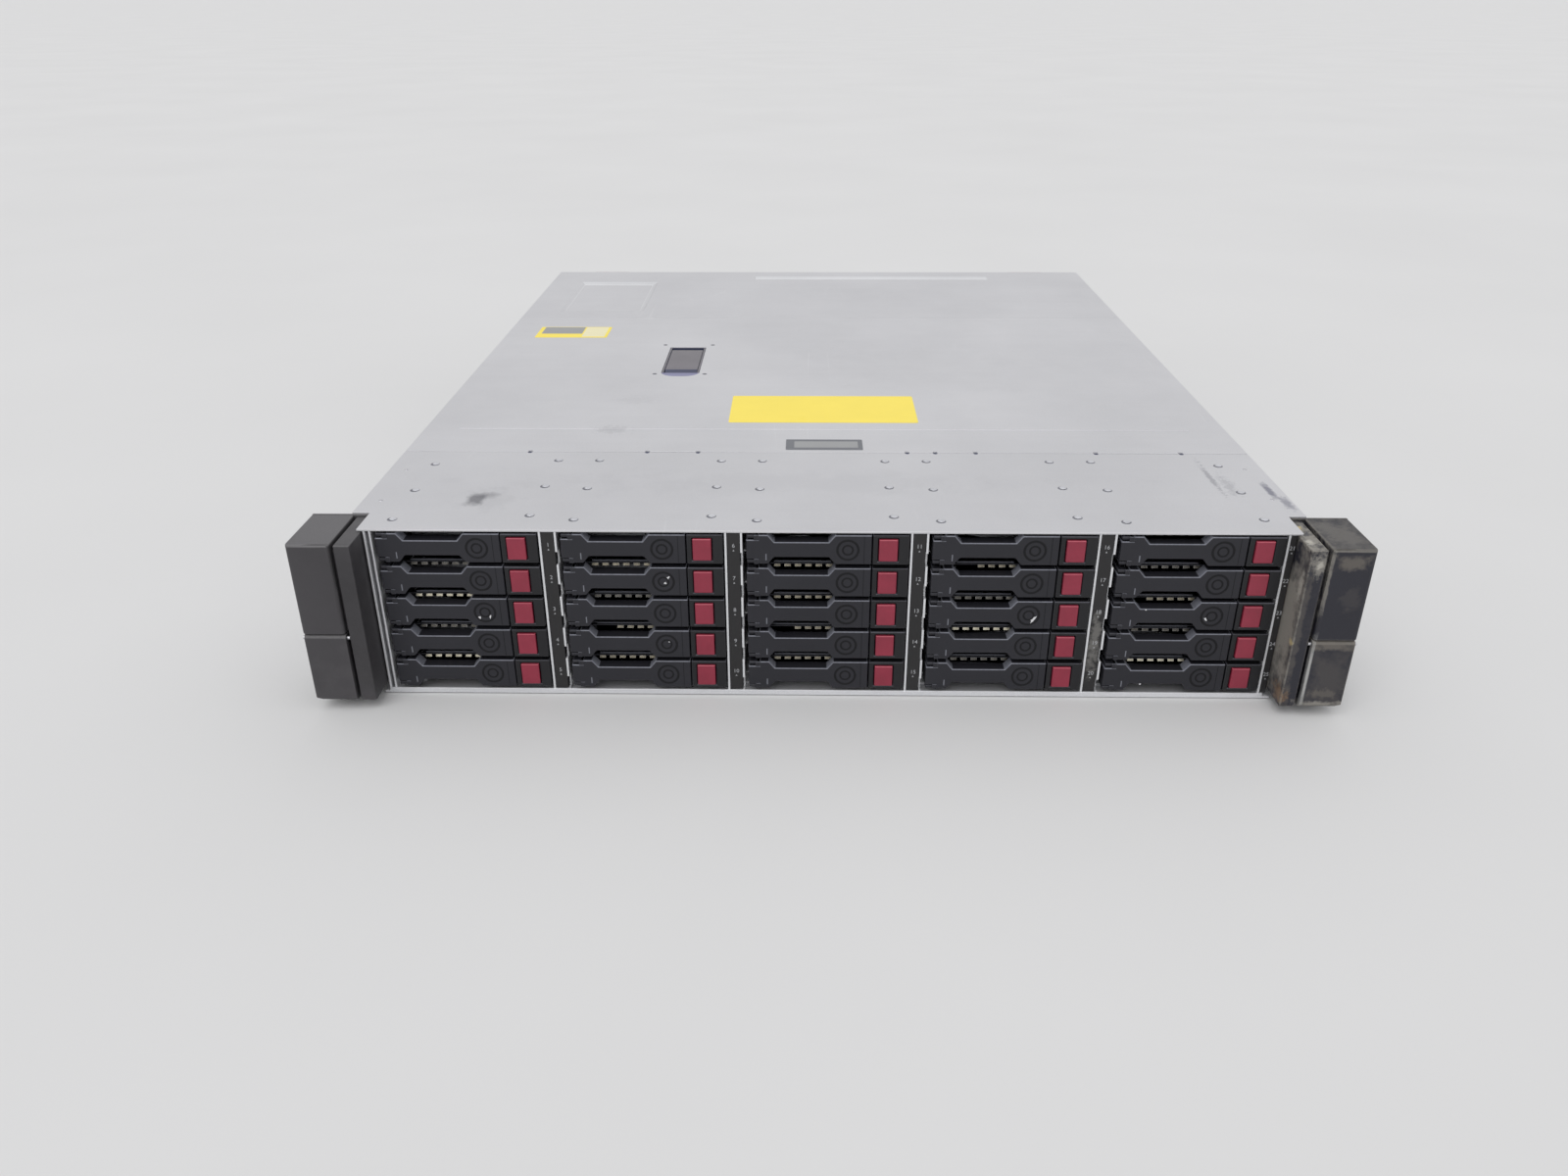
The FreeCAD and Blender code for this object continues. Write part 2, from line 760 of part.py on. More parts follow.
def foot_edge(edge):
    """The flap's bottom edges, at its front and its outer side."""
    ends = [vertex.Point for vertex in edge.Vertexes]
    front_foot = all(near(end.y, ear_front) and near(end.z, size.ear_foot) for end in ends)
    side_foot = all(near(end.x, latch_across.high) and near(end.z, size.ear_foot) for end in ends)
    return front_foot or side_foot


soften(flap, size.latch_round, hinge_edge)
bevel(flap, size.ear_round, foot_edge)
nodes["right_ear_latch"] = flap
nodes["left_ear_latch"] = other_hand("left_ear_latch", flap)

ear_pin = new_body("right_ear_pin")
pin_across = Band(post_across.high, ear_outer + size.latch_pin_end)
pad(ear_pin, "YZ", pin_across, [Ring(latch_axis_y, latch_axis_z, size.latch_pin_radius)])
group("ear_hinge_pins", [ear_pin, other_hand("left_ear_pin", ear_pin)])

# Access panel: flat sheet with a rib, relief slots at its front edge, the latch's opening and tabs below
relief_places = (-156, -93.7, -66.7, 44, 58.8, 80.1, 143.3, 188)
panel_front = panel_start + size.seam / 2
panel_back = panel_end - size.seam / 2
panel = new_body("panel_sheet")
panel_plan = rect(Band(-half_width, half_width), Band(panel_front, panel_back))
pad(panel, "XY", cover_up, [panel_plan])
rib_middle = panel_start + size.rib_place
rib_plan = rect(Band(-half_width + size.rib_margin, half_width - size.rib_margin),
                Band(rib_middle - size.rib_width / 2, rib_middle + size.rib_width / 2))
pad(panel, "XY", Band(size.chassis_height, size.chassis_height + size.rib_height), [rib_plan])
reliefs = []
for spot in relief_places:
    relief_across = Band(as_size(spot) - size.relief_width / 2, as_size(spot) + size.relief_width / 2)
    reliefs.append(rect(relief_across, Band(panel_front - size.seam, panel_front + size.relief_depth)))
pocket(panel, "XY", cover_up, reliefs)
opening_across = Band(-size.latch_place - size.latch_width / 2, -size.latch_place + size.latch_width / 2)
opening_back = panel_end - size.latch_rear_margin
opening_along = Band(opening_back - size.latch_length, opening_back)
pocket(panel, "XY", cover_up, [rect(opening_across, opening_along)])


def opening_corner(edge):
    """The two front corners of the latch opening."""
    point = edge.Vertexes[0].Point
    at_side = near(point.x, opening_across.low) or near(point.x, opening_across.high)
    return runs_along(edge, 2) and at_side and near(point.y, opening_along.low)


soften(panel, size.latch_corner, opening_corner)
tab_outer = half_width - size.top_flange - size.clearance
tab_across = Band(tab_outer - size.sheet_metal, tab_outer)
tab = new_body("panel_tab")
tab_up = Band(cover_underside - size.tab_drop, cover_underside)
pad(tab, "XY", tab_up, [rect(tab_across, Band(0, size.tab_length))])
left_shift = size.sheet_metal - tab_outer * 2
panel_pieces = [panel]
for tab_start in (panel_front + size.tab_inset, panel_back - size.tab_inset - size.tab_length):
    panel_pieces += [link(tab, 0, tab_start, 0), link(tab, left_shift, tab_start, 0)]
group("access_panel", panel_pieces)

# Panel latch: a tub hung under the opening by its flange, with a cross rod and a paddle on it
tub_across = Band(opening_across.low + size.tub_gap, opening_across.high - size.tub_gap)
tub_along = Band(opening_along.low + size.tub_gap, opening_along.high - size.tub_gap)
flange_across = Band(opening_across.low - size.tub_flange, opening_across.high + size.tub_flange)
flange_along = Band(opening_along.low - size.tub_flange, opening_along.high + size.tub_flange)
tub = new_body("panel_latch_housing")
tub_flange_up = Band(cover_underside - size.tub_wall, cover_underside)
pad(tub, "XY", tub_flange_up, [rect(flange_across, flange_along)])
tub_foot = size.chassis_height - size.tub_depth
pad(tub, "XY", Band(tub_foot, size.chassis_height - size.tub_gap), [rect(tub_across, tub_along)])


def tub_corner(edge):
    """The front corners of the tub, which follow the opening's."""
    point = edge.Vertexes[0].Point
    at_side = near(point.x, tub_across.low) or near(point.x, tub_across.high)
    return runs_along(edge, 2) and at_side and near(point.y, tub_along.low)


soften(tub, size.latch_corner - size.tub_gap, tub_corner)
well_across = Band(tub_across.low + size.tub_wall, tub_across.high - size.tub_wall)
well_along = Band(tub_along.low + size.tub_wall * 2, tub_along.high - size.tub_wall)
bevel_end = well_along.low + size.well_bevel
well_plan = [
    (well_across.low + size.well_bevel, well_along.low),
    (well_across.high - size.well_bevel, well_along.low),
    (well_across.high, bevel_end), (well_across.high, well_along.high),
    (well_across.low, well_along.high), (well_across.low, bevel_end),
]
pocket(tub, "XY", Band(tub_foot + size.tub_wall, size.chassis_height), [well_plan])
rod_y = tub_along.high - size.rod_setback
rod_z = size.chassis_height - size.rod_drop
pad(tub, "YZ", well_across, [Ring(rod_y, rod_z, size.rod_radius)])
nodes["panel_latch_housing"] = tub

paddle = new_body("panel_latch")
paddle_across = Band(well_across.low + size.paddle_gap, well_across.high - size.paddle_gap)
paddle_front = tub_along.low + size.finger_gap
paddle_top = rod_z + size.paddle_eye
paddle_tip = paddle_top - size.paddle_slope
eye_along = Band(rod_y - size.paddle_eye, rod_y + size.paddle_eye)
eye_foot = rod_z - size.paddle_eye
paddle_section = [
    (paddle_front, paddle_tip), (paddle_front, paddle_tip - size.paddle_thickness),
    (eye_along.low, eye_foot), (eye_along.high, eye_foot),
    (eye_along.high, paddle_top), (eye_along.low, paddle_top),
]
pad(paddle, "YZ", paddle_across, [paddle_section])
pocket(paddle, "YZ", paddle_across, [Ring(rod_y, rod_z, size.rod_radius + size.pin_play)])
nodes["panel_latch"] = paddle

# Rear cover: sheet with two shallow sunk fields
rear_cover = new_body("rear_cover")
rear_plan = rect(Band(-half_width, half_width), Band(panel_end + size.seam / 2, y_rear))
pad(rear_cover, "XY", cover_up, [rear_plan])
field_start = panel_end + size.field_setback
bar_end = y_rear - size.bar_inset
field_left = size.field_side_margin - half_width
field_across = Band(field_left, field_left + size.field_width)
field_plan = rect(field_across, Band(field_start, field_start + size.field_length))
bar_across = Band(-size.bar_left, size.bar_length - size.bar_left)
bar_plan = rect(bar_across, Band(bar_end - size.bar_width, bar_end))
sunk_up = Band(size.chassis_height - size.field_sink, size.chassis_height)
pocket(rear_cover, "XY", sunk_up, [field_plan, bar_plan])
nodes["rear_cover"] = rear_cover

# Module cage: partitions from floor to cover and a shelf between the stacked modules
fan_up = Band(size.sheet_metal + size.module_gap, cover_underside - size.sheet_metal - size.module_gap)
fan_width = fan_up.high - fan_up.low
fan_bay = fan_width + size.module_gap * 2
first_partition = Band(fan_bay - wall_inside, fan_bay - wall_inside + size.sheet_metal)
last_partition = Band(wall_inside - fan_bay - size.sheet_metal, wall_inside - fan_bay)
middle_right = last_partition.low - size.supply_width - size.module_gap * 2
middle_partition = Band(middle_right - size.sheet_metal, middle_right)
cage_span = Band(y_rear - size.module_length + size.cage_setback, y_rear - size.sheet_metal)
module_cage = new_body("module_cage")
partition_up = Band(size.sheet_metal, cover_underside)
partitions = (first_partition, middle_partition, last_partition)
pad(module_cage, "XZ", cage_span, [rect(across, partition_up) for across in partitions])
shelf_middle = (size.sheet_metal + cover_underside) / 2
shelf_up = Band(shelf_middle - size.sheet_metal / 2, shelf_middle + size.sheet_metal / 2)
left_shelf = rect(Band(first_partition.high, middle_partition.low), shelf_up)
right_shelf = rect(Band(middle_partition.high, last_partition.low), shelf_up)
pad(module_cage, "XZ", cage_span, [left_shelf, right_shelf])
nodes["module_cage"] = module_cage
lower_bay = Band(size.sheet_metal + size.module_gap, shelf_up.low - size.module_gap)
upper_bay = Band(shelf_up.high + size.module_gap, cover_underside - size.module_gap)
module_span = Band(y_rear - size.module_length, y_rear)

# I/O modules: open-topped trays with port wells, a row of vents and an ejector lever at each end
vent_count = 8
port_count = 3
port_places = 7
first_port = 2
io_across = Band(first_partition.high + size.module_gap, middle_partition.low - size.module_gap)
port_pitch = (io_across.high - io_across.low) / port_places
port_width = port_pitch - size.port_gap
ports_start = io_across.low + port_pitch * first_port


def io_module(label, up):
    """One I/O module, flush with the rear."""
    body = new_body(label)
    middle = (up.low + up.high) / 2
    pad(body, "XZ", module_span, [rect(io_across, up)])
    inside = rect(Band(io_across.low + size.sheet_metal, io_across.high - size.sheet_metal),
                  Band(module_span.low + size.sheet_metal, y_rear - size.port_depth - size.sheet_metal))
    pocket(body, "XY", Band(up.low + size.sheet_metal, up.high), [inside])
    port_up = Band(middle - size.port_height / 2, middle + size.port_height / 2)
    ports = []
    for index in range(port_count):
        start = ports_start + port_pitch * index
        ports.append(rect(Band(start, start + port_width), port_up))
    pocket(body, "XZ", Band(y_rear - size.port_depth, y_rear), ports)
    vent_up = Band(port_up.high + size.vent_size, port_up.high + size.vent_size * 2)
    vents = []
    for index in range(vent_count):
        start = ports_start + size.vent_pitch * index
        vents.append(rect(Band(start, start + size.vent_size), vent_up))
    pocket(body, "XZ", Band(y_rear - size.vent_depth, y_rear), vents)
    lever_up = Band(middle - size.ejector_height / 2, middle + size.ejector_height / 2)
    left = io_across.low + size.ejector_inset
    right = io_across.high - size.ejector_inset
    left_lever = rect(Band(left, left + size.ejector_width), lever_up)
    right_lever = rect(Band(right - size.ejector_width, right), lever_up)
    pad(body, "XZ", Band(y_rear, y_rear + size.ejector_reach), [left_lever, right_lever])
    nodes[label] = body


io_module("io_module_a", upper_bay)
io_module("io_module_b", lower_bay)

# Power supplies: closed boxes with an inlet, a fan opening and a bail handle
supply_across = Band(middle_partition.high + size.module_gap, last_partition.low - size.module_gap)


def power_supply(label, up):
    """One power supply, flush with the rear."""
    body = new_body(label)
    middle = (up.low + up.high) / 2
    pad(body, "XZ", module_span, [rect(supply_across, up)])
    inlet_left = supply_across.low + size.inlet_inset
    inlet_across = Band(inlet_left, inlet_left + size.inlet_width)
    inlet_up = Band(middle - size.inlet_height / 2, middle + size.inlet_height / 2)
    pocket(body, "XZ", Band(y_rear - size.inlet_depth, y_rear), [rect(inlet_across, inlet_up)])
    blower = Ring(supply_across.high - size.blower_inset, middle, size.blower_radius)
    pocket(body, "XZ", Band(y_rear - size.blower_depth, y_rear), [blower])
    bail_right = supply_across.high - size.blower_inset + size.bail_width / 2
    bail_left = bail_right - size.bail_width
    bail_end = y_rear + size.bail_reach
    bail_plan = [
        (bail_left, y_rear), (bail_left, bail_end), (bail_right, bail_end), (bail_right, y_rear),
        (bail_right - size.bail_bar, y_rear), (bail_right - size.bail_bar, bail_end - size.bail_bar),
        (bail_left + size.bail_bar, bail_end - size.bail_bar), (bail_left + size.bail_bar, y_rear),
    ]
    pad(body, "XY", Band(middle - size.bail_bar / 2, middle + size.bail_bar / 2), [bail_plan])
    nodes[label] = body


power_supply("power_supply_1", upper_bay)
power_supply("power_supply_2", lower_bay)

# Fan modules: a ducted frame with a motor on four arms, a finger guard and a bladed rotor
blade_count = 7
fan_middle = (fan_up.low + fan_up.high) / 2
fan_front = y_rear - size.fan_length
duct_radius = fan_width / 2 - size.duct_wall
motor_back = fan_front + size.motor_length
hub_front = motor_back + size.rotor_gap
hub_back = hub_front + size.hub_length
left_fan_middle = size.module_gap + fan_width / 2 - wall_inside


def fan_frame(label, across_middle):
    """A frame with its duct, arms and motor at the front and its guard at the rear."""
    body = new_body(label)
    across = Band(across_middle - fan_width / 2, across_middle + fan_width / 2)
    duct = Ring(across_middle, fan_middle, duct_radius)
    pad(body, "XZ", Band(fan_front, y_rear), [rect(across, fan_up), duct])
    arms_along = Band(fan_front, fan_front + size.arm_depth)
    guard_along = Band(y_rear - size.guard_depth, y_rear)
    for along, width in ((arms_along, size.arm_width), (guard_along, size.guard_bar)):
        upright = rect(Band(across_middle - width / 2, across_middle + width / 2), fan_up)
        level = rect(across, Band(fan_middle - width / 2, fan_middle + width / 2))
        pad(body, "XZ", along, [upright])
        pad(body, "XZ", along, [level])
    pad(body, "XZ", Band(fan_front, motor_back), [Ring(across_middle, fan_middle, size.motor_radius)])
    grip_across = Band(across_middle - size.grip_width / 2, across_middle + size.grip_width / 2)
    grip_up = Band(fan_up.high - size.grip_thickness, fan_up.high)
    pad(body, "XZ", Band(y_rear, y_rear + size.grip_reach), [rect(grip_across, grip_up)])
    nodes[label] = body


def blade_section():
    """A slanted strip across the shaft, in the plane that the blade grows out of."""
    half = size.blade_chord / 2
    lead = size.blade_sweep / 2
    return [
        (-lead, -half), (size.blade_thickness - lead, -half),
        (lead, half), (lead - size.blade_thickness, half),
    ]


# Rotor about its own Y axis, with the middle of its blades at zero
rotor = new_body("rotor")
pad(rotor, "XZ", Band(-size.hub_length / 2, size.hub_length / 2), [Ring(0, 0, size.hub_radius)])
blade_span = Band(size.hub_radius - size.blade_root_sink, duct_radius - size.blade_tip_gap)
blade = pad(rotor, "XY", blade_span, [blade_section()])
blades = rotor.newObject("PartDesign::PolarPattern", "blades")
blades.Originals = [blade]
blades.Axis = (origin_feature(rotor, "Y_Axis"), [""])
blades.Angle = 360
blades.Occurrences = blade_count
rotor.Tip = blades

for number, across_middle in ((1, left_fan_middle), (2, -left_fan_middle)):
    fan_frame(f"fan_module_{number}", across_middle)
    place(group(f"fan_rotor_{number}", [rotor]), across_middle, (hub_front + hub_back) / 2, fan_middle)

doc.recompute()
for thing in doc.Objects:
    if "Invalid" in thing.State or "Error" in thing.State:
        raise RuntimeError(f"{thing.Label} failed: {thing.State}")
for label, thing in nodes.items():
    if thing.Shape.isNull() or not thing.Shape.isValid() or not thing.Shape.Solids:
        raise RuntimeError(f"{label} has no valid solid")
os.makedirs("parts", exist_ok=True)
for label, thing in nodes.items():
    thing.Shape.exportStep(f"parts/{label}.step")
solid_count = sum(len(thing.Shape.Solids) for thing in nodes.values())
print(f"{len(nodes)} nodes, {solid_count} solids")
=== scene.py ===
import math
import random
import bmesh
import bpy
from mathutils import Matrix, Vector


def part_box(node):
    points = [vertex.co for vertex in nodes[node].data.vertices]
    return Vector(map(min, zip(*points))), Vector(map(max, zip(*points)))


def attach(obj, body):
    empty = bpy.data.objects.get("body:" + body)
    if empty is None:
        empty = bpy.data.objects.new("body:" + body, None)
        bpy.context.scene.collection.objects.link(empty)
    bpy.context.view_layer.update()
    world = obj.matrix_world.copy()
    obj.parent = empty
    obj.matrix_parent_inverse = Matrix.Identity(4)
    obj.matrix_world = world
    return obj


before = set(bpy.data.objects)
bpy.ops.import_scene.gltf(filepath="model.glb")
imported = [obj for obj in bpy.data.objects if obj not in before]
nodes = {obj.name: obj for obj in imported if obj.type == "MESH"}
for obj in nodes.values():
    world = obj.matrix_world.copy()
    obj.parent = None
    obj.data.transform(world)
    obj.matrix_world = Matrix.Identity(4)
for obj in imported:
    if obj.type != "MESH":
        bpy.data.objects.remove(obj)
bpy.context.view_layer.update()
scene = bpy.context.scene
mm = 0.001
origin = Vector((0.0, 0.0, 0.0))
print("frame:", len(nodes), "nodes")


# ways to wire node trees, for shaders and geometry alike

def add(tree, kind, wires=None, **options):
    made = tree.nodes.new(kind)
    for option, value in options.items():
        setattr(made, option, value)
    for key, value in (wires or {}).items():
        if isinstance(value, bpy.types.NodeSocket):
            tree.links.new(value, made.inputs[key])
        else:
            made.inputs[key].default_value = value
    return made


def calc(tree, operation, first, second=0.0):
    return add(tree, "ShaderNodeMath", {0: first, 1: second}, operation=operation).outputs[0]


def vectorCalc(tree, operation, first, second=(0.0, 0.0, 0.0)):
    return add(tree, "ShaderNodeVectorMath", {0: first, 1: second}, operation=operation).outputs


def spread(tree, value, low, high, toLow=0.0, toHigh=1.0):
    wires = {"Value": value, "From Min": low, "From Max": high, "To Min": toLow, "To Max": toHigh}
    return add(tree, "ShaderNodeMapRange", wires, clamp=True).outputs["Result"]


def mixColour(tree, mask, under, over):
    return add(tree, "ShaderNodeMix", {0: mask, 6: under, 7: over}, data_type="RGBA").outputs[2]


def mixValue(tree, share, first, second):
    return add(tree, "ShaderNodeMix", {0: share, 2: first, 3: second}).outputs[0]


def noise(tree, vector, scale, detail=2.0, rough=0.5):
    wires = {"Vector": vector, "Scale": scale, "Detail": detail, "Roughness": rough}
    return add(tree, "ShaderNodeTexNoise", wires).outputs["Fac"]


def stretch(tree, vector, scale, turn=0.0):
    wires = {"Vector": vector, "Scale": scale, "Rotation": (0, 0, turn)}
    return add(tree, "ShaderNodeMapping", wires).outputs["Vector"]


def apart(tree, vector):
    return add(tree, "ShaderNodeSeparateXYZ", {0: vector}).outputs


def ink(colour):
    # screen colour, 0 to 255, as the linear colour that a shader takes
    linear = [c / 3294.6 if c <= 10.3 else ((c / 255 + 0.055) / 1.055) ** 2.4 for c in colour]
    return (*linear, 1.0)


def dimmed(colour, share):
    return (*[channel * share for channel in colour[:3]], 1.0)


def newObject(name, data):
    made = bpy.data.objects.new(name, data)
    scene.collection.objects.link(made)
    return made


# stage: pale floor, soft light, and the photograph's camera

studio = {
    "cameraPlace": (-0.00992, -0.50867, 0.30607), "cameraTurn": (63.129, 0.171, 1.023),
    "lens": 27.144, "sensor": 36, "nearest": 0.01, "farthest": 200,
    "floorReach": 60.0, "floorDrop": 0.0005, "floorColour": (222, 222, 222), "floorDim": 0.97,
    "floorMottle": 3.0, "floorRough": 0.9, "floorGloss": 0.1, "roomColour": (220, 220, 221),
    "suns": (("keySun", 1.0, (36, -16, 0), 50), ("fillSun", 0.15, (60, 34, 40), 110)),
}


def setCamera():
    camera = newObject("photoCamera", bpy.data.cameras.new("photoCamera"))
    camera.location = studio["cameraPlace"]
    camera.rotation_euler = [math.radians(turn) for turn in studio["cameraTurn"]]
    camera.data.lens = studio["lens"]
    camera.data.sensor_width = studio["sensor"]
    camera.data.clip_start = studio["nearest"]
    camera.data.clip_end = studio["farthest"]
    scene.camera = camera


def setFloor():
    reach, drop = studio["floorReach"], -studio["floorDrop"]
    mesh = bpy.data.meshes.new("paleFloor")
    corners = [(-reach, -reach, drop), (reach, -reach, drop), (reach, reach, drop), (-reach, reach, drop)]
    mesh.from_pydata(corners, [], [(0, 1, 2, 3)])
    floor = newObject("paleFloor", mesh)
    material = bpy.data.materials.new("paleFloor")
    material.use_nodes = True
    tree = material.node_tree
    shader = tree.nodes["Principled BSDF"]
    place = add(tree, "ShaderNodeTexCoord").outputs["Object"]
    mottle = spread(tree, noise(tree, place, studio["floorMottle"], 4.0), 0.3, 0.7)
    pale = ink(studio["floorColour"])
    colour = mixColour(tree, mottle, dimmed(pale, studio["floorDim"]), pale)
    tree.links.new(colour, shader.inputs["Base Color"])
    shader.inputs["Roughness"].default_value = studio["floorRough"]
    shader.inputs["Specular IOR Level"].default_value = studio["floorGloss"]
    mesh.materials.append(material)


def setLight():
    world = bpy.data.worlds.new("paleRoom")
    scene.world = world
    world.use_nodes = True
    world.node_tree.nodes["Background"].inputs["Color"].default_value = ink(studio["roomColour"])
    for name, power, turn, angle in studio["suns"]:
        lamp = bpy.data.lights.new(name, "SUN")
        lamp.energy = power
        lamp.angle = math.radians(angle)
        newObject(name, lamp).rotation_euler = [math.radians(part) for part in turn]
    scene.view_settings.view_transform = "Standard"


setCamera()
setFloor()
setLight()
print("stage set")


# effects that several finishes share, each a group that reads a place

effects = {}


def newGroup(name, inputs, outputs):
    group = bpy.data.node_groups.new(name, "ShaderNodeTree")
    for label, value in {"Vector": (0.0, 0.0, 0.0), **inputs}.items():
        kind = "NodeSocketVector" if isinstance(value, tuple) else "NodeSocketFloat"
        socket = group.interface.new_socket(label, in_out="INPUT", socket_type=kind)
        socket.default_value = value
    for label in outputs:
        group.interface.new_socket(label, in_out="OUTPUT", socket_type="NodeSocketFloat")
    effects[name] = group
    return group, add(group, "NodeGroupInput").outputs, add(group, "NodeGroupOutput").inputs


def effect(tree, name, place, **values):
    return add(tree, "ShaderNodeGroup", {"Vector": place, **values}, node_tree=effects[name]).outputs


def buildSheetGrain():
    inputs = {"Blotch": 14.0, "Streak": 160.0, "Fine": 1800.0, "Brushed": 0.2}
    group, given, out = newGroup("sheetGrain", inputs, ("Tone", "Height"))
    blotch = noise(group, given["Vector"], given["Blotch"], 4.0, 0.6)
    streak = noise(group, stretch(group, given["Vector"], (0.03, 1.0, 1.0)), given["Streak"], 3.0)
    fine = noise(group, given["Vector"], given["Fine"], 2.0)
    shared = mixValue(group, given["Brushed"], fine, streak)
    group.links.new(calc(group, "MULTIPLY", calc(group, "ADD", blotch, shared), 0.5), out["Tone"])
    group.links.new(shared, out["Height"])


def buildEdgeWear():
    # Mask is chipped edges all round; the second output is a painted highlight along the edges that face up,
    # broken by the chip noise
    inputs = {"Radius": 0.0006, "Chips": 700.0, "Patchy": 0.5}
    group, given, out = newGroup("edgeWear", inputs, ("Mask", "Top"))
    rounded = add(group, "ShaderNodeBevel", {"Radius": given["Radius"]}, samples=4).outputs["Normal"]
    plain = add(group, "ShaderNodeNewGeometry").outputs["Normal"]
    facing = vectorCalc(group, "DOT_PRODUCT", rounded, plain)["Value"]
    edge = spread(group, facing, 0.99, 0.86)
    chips = noise(group, given["Vector"], given["Chips"], 3.0, 0.6)
    low = calc(group, "MULTIPLY", given["Patchy"], 0.9)
    patch = spread(group, chips, low, calc(group, "ADD", low, 0.18))
    group.links.new(calc(group, "MULTIPLY", edge, patch), out["Mask"])
    slant = apart(group, plain)["Z"]
    # bevels and edges that face up, to be lightened as a painted highlight
    rim = calc(group, "MULTIPLY", spread(group, slant, 0.12, 0.35), spread(group, slant, 0.995, 0.93))
    sharp = calc(group, "MULTIPLY", edge, spread(group, apart(group, rounded)["Z"], 0.2, 0.6))
    broken = spread(group, chips, 0.3, 0.6, 0.7, 1.0)
    group.links.new(calc(group, "MULTIPLY", calc(group, "MAXIMUM", rim, sharp), broken), out["Top"])


def buildDustFilm():
    group, given, out = newGroup("dustFilm", {"Scale": 60.0, "Cover": 0.5}, ("Mask",))
    normal = add(group, "ShaderNodeNewGeometry").outputs["Normal"]
    upward = spread(group, apart(group, normal)["Z"], -0.2, 0.9, 0.25, 1.0)
    cloud = noise(group, given["Vector"], given["Scale"], 5.0, 0.65)
    start = calc(group, "SUBTRACT", 0.78, calc(group, "MULTIPLY", given["Cover"], 0.55))
    drift = spread(group, cloud, start, calc(group, "ADD", start, 0.28))
    group.links.new(calc(group, "MULTIPLY", upward, drift), out["Mask"])


def buildScratchLines():
    inputs = {"Scale": 30.0, "Thin": 0.012, "Rare": 0.58}
    group, given, out = newGroup("scratchLines", inputs, ("Mask",))
    lines = []
    for turn, narrow in ((0.5, 0.06), (-0.9, 0.09)):
        laid = stretch(group, given["Vector"], (1.0, narrow, 1.0), turn)
        wave = noise(group, laid, given["Scale"], 1.0)
        near = calc(group, "ABSOLUTE", calc(group, "SUBTRACT", wave, 0.5))
        lines.append(spread(group, near, 0.0, given["Thin"], 1.0, 0.0))
    patch = noise(group, given["Vector"], calc(group, "MULTIPLY", given["Scale"], 0.6), 2.0)
    rare = spread(group, patch, given["Rare"], calc(group, "ADD", given["Rare"], 0.08))
    group.links.new(calc(group, "MULTIPLY", calc(group, "MAXIMUM", *lines), rare), out["Mask"])


def buildStainPatch():
    # a torn-edged patch round Centre, oval at Boxy 0 and square at Boxy 1
    inputs = {"Centre": (0.0, 0.0, 0.0), "Reach": (0.01, 0.01, 0.01), "Ragged": 0.8, "Scale": 300.0,
              "Boxy": 0.0}
    group, given, out = newGroup("stainPatch", inputs, ("Mask",))
    shifted = vectorCalc(group, "SUBTRACT", given["Vector"], given["Centre"])[0]
    scaled = vectorCalc(group, "DIVIDE", shifted, given["Reach"])[0]
    oval = vectorCalc(group, "LENGTH", scaled)["Value"]
    sides = apart(group, vectorCalc(group, "ABSOLUTE", scaled)[0])
    square = calc(group, "MAXIMUM", calc(group, "MAXIMUM", sides[0], sides[1]), sides[2])
    torn = calc(group, "SUBTRACT", noise(group, given["Vector"], given["Scale"], 4.0, 0.7), 0.5)
    reach = calc(group, "MULTIPLY", torn, calc(group, "MULTIPLY", given["Ragged"], 4.0))
    ragged = calc(group, "ADD", mixValue(group, given["Boxy"], oval, square), reach)
    group.links.new(spread(group, ragged, 1.15, 0.45), out["Mask"])


for build in (buildSheetGrain, buildEdgeWear, buildDustFilm, buildScratchLines, buildStainPatch):
    build()
print("effects built")


# finishes: colours are screen colours, places of stains in mm

finishes = {}


def newFinish(name, metallic=0.0, specular=0.5):
    material = bpy.data.materials.new(name)
    material.use_nodes = True
    tree = material.node_tree
    shader = tree.nodes["Principled BSDF"]
    shader.inputs["Metallic"].default_value = metallic
    shader.inputs["Specular IOR Level"].default_value = specular
    finishes[name] = material
    return tree, shader, add(tree, "ShaderNodeTexCoord").outputs["Object"]


def veil(tree, colour, mask, strength, over):
    return mixColour(tree, calc(tree, "MULTIPLY", mask, strength), colour, ink(over))


def worn(tree, place, colour, look):
    if not look["edgeStrength"]:
        return colour
    values = {"Radius": look["edgeRadius"], "Chips": look["chips"], "Patchy": look["patchy"]}
    wear = effect(tree, "edgeWear", place, **values)
    colour = veil(tree, colour, wear["Mask"], look["edgeStrength"], look["edge"])
    # a painted highlight in the look's top colour along the edges that face up
    if look["topStrength"]:
        colour = veil(tree, colour, wear["Top"], look["topStrength"], look["top"])
    return colour


def scratched(tree, place, colour, look):
    if not look["scratchStrength"]:
        return colour
    marks = effect(tree, "scratchLines", place, Scale=look["scratch"], Thin=look["thin"], Rare=look["rare"])
    return veil(tree, colour, marks["Mask"], look["scratchStrength"], look["edge"])


def dusted(tree, place, colour, rough, look):
    film = effect(tree, "dustFilm", place, Scale=look["dustScale"], Cover=look["dust"])["Mask"]
    duller = calc(tree, "ADD", rough, calc(tree, "MULTIPLY", film, look["dustRough"]))
    return veil(tree, colour, film, look["dustStrength"], look["dustColour"]), duller


def stained(tree, place, colour, stains):
    for centre, reach, ragged, scale, boxy, strength, tint in stains:
        where = {"Centre": [c * mm for c in centre], "Reach": [r * mm for r in reach]}
        mask = effect(tree, "stainPatch", place, **where, Ragged=ragged, Scale=scale, Boxy=boxy)["Mask"]
        colour = veil(tree, colour, mask, strength, tint)
    return colour


def roughOf(tree, source, look):
    low, high = [look["rough"] + change for change in look["roughSpan"]]
    return spread(tree, source, *look["roughTones"], low, high)


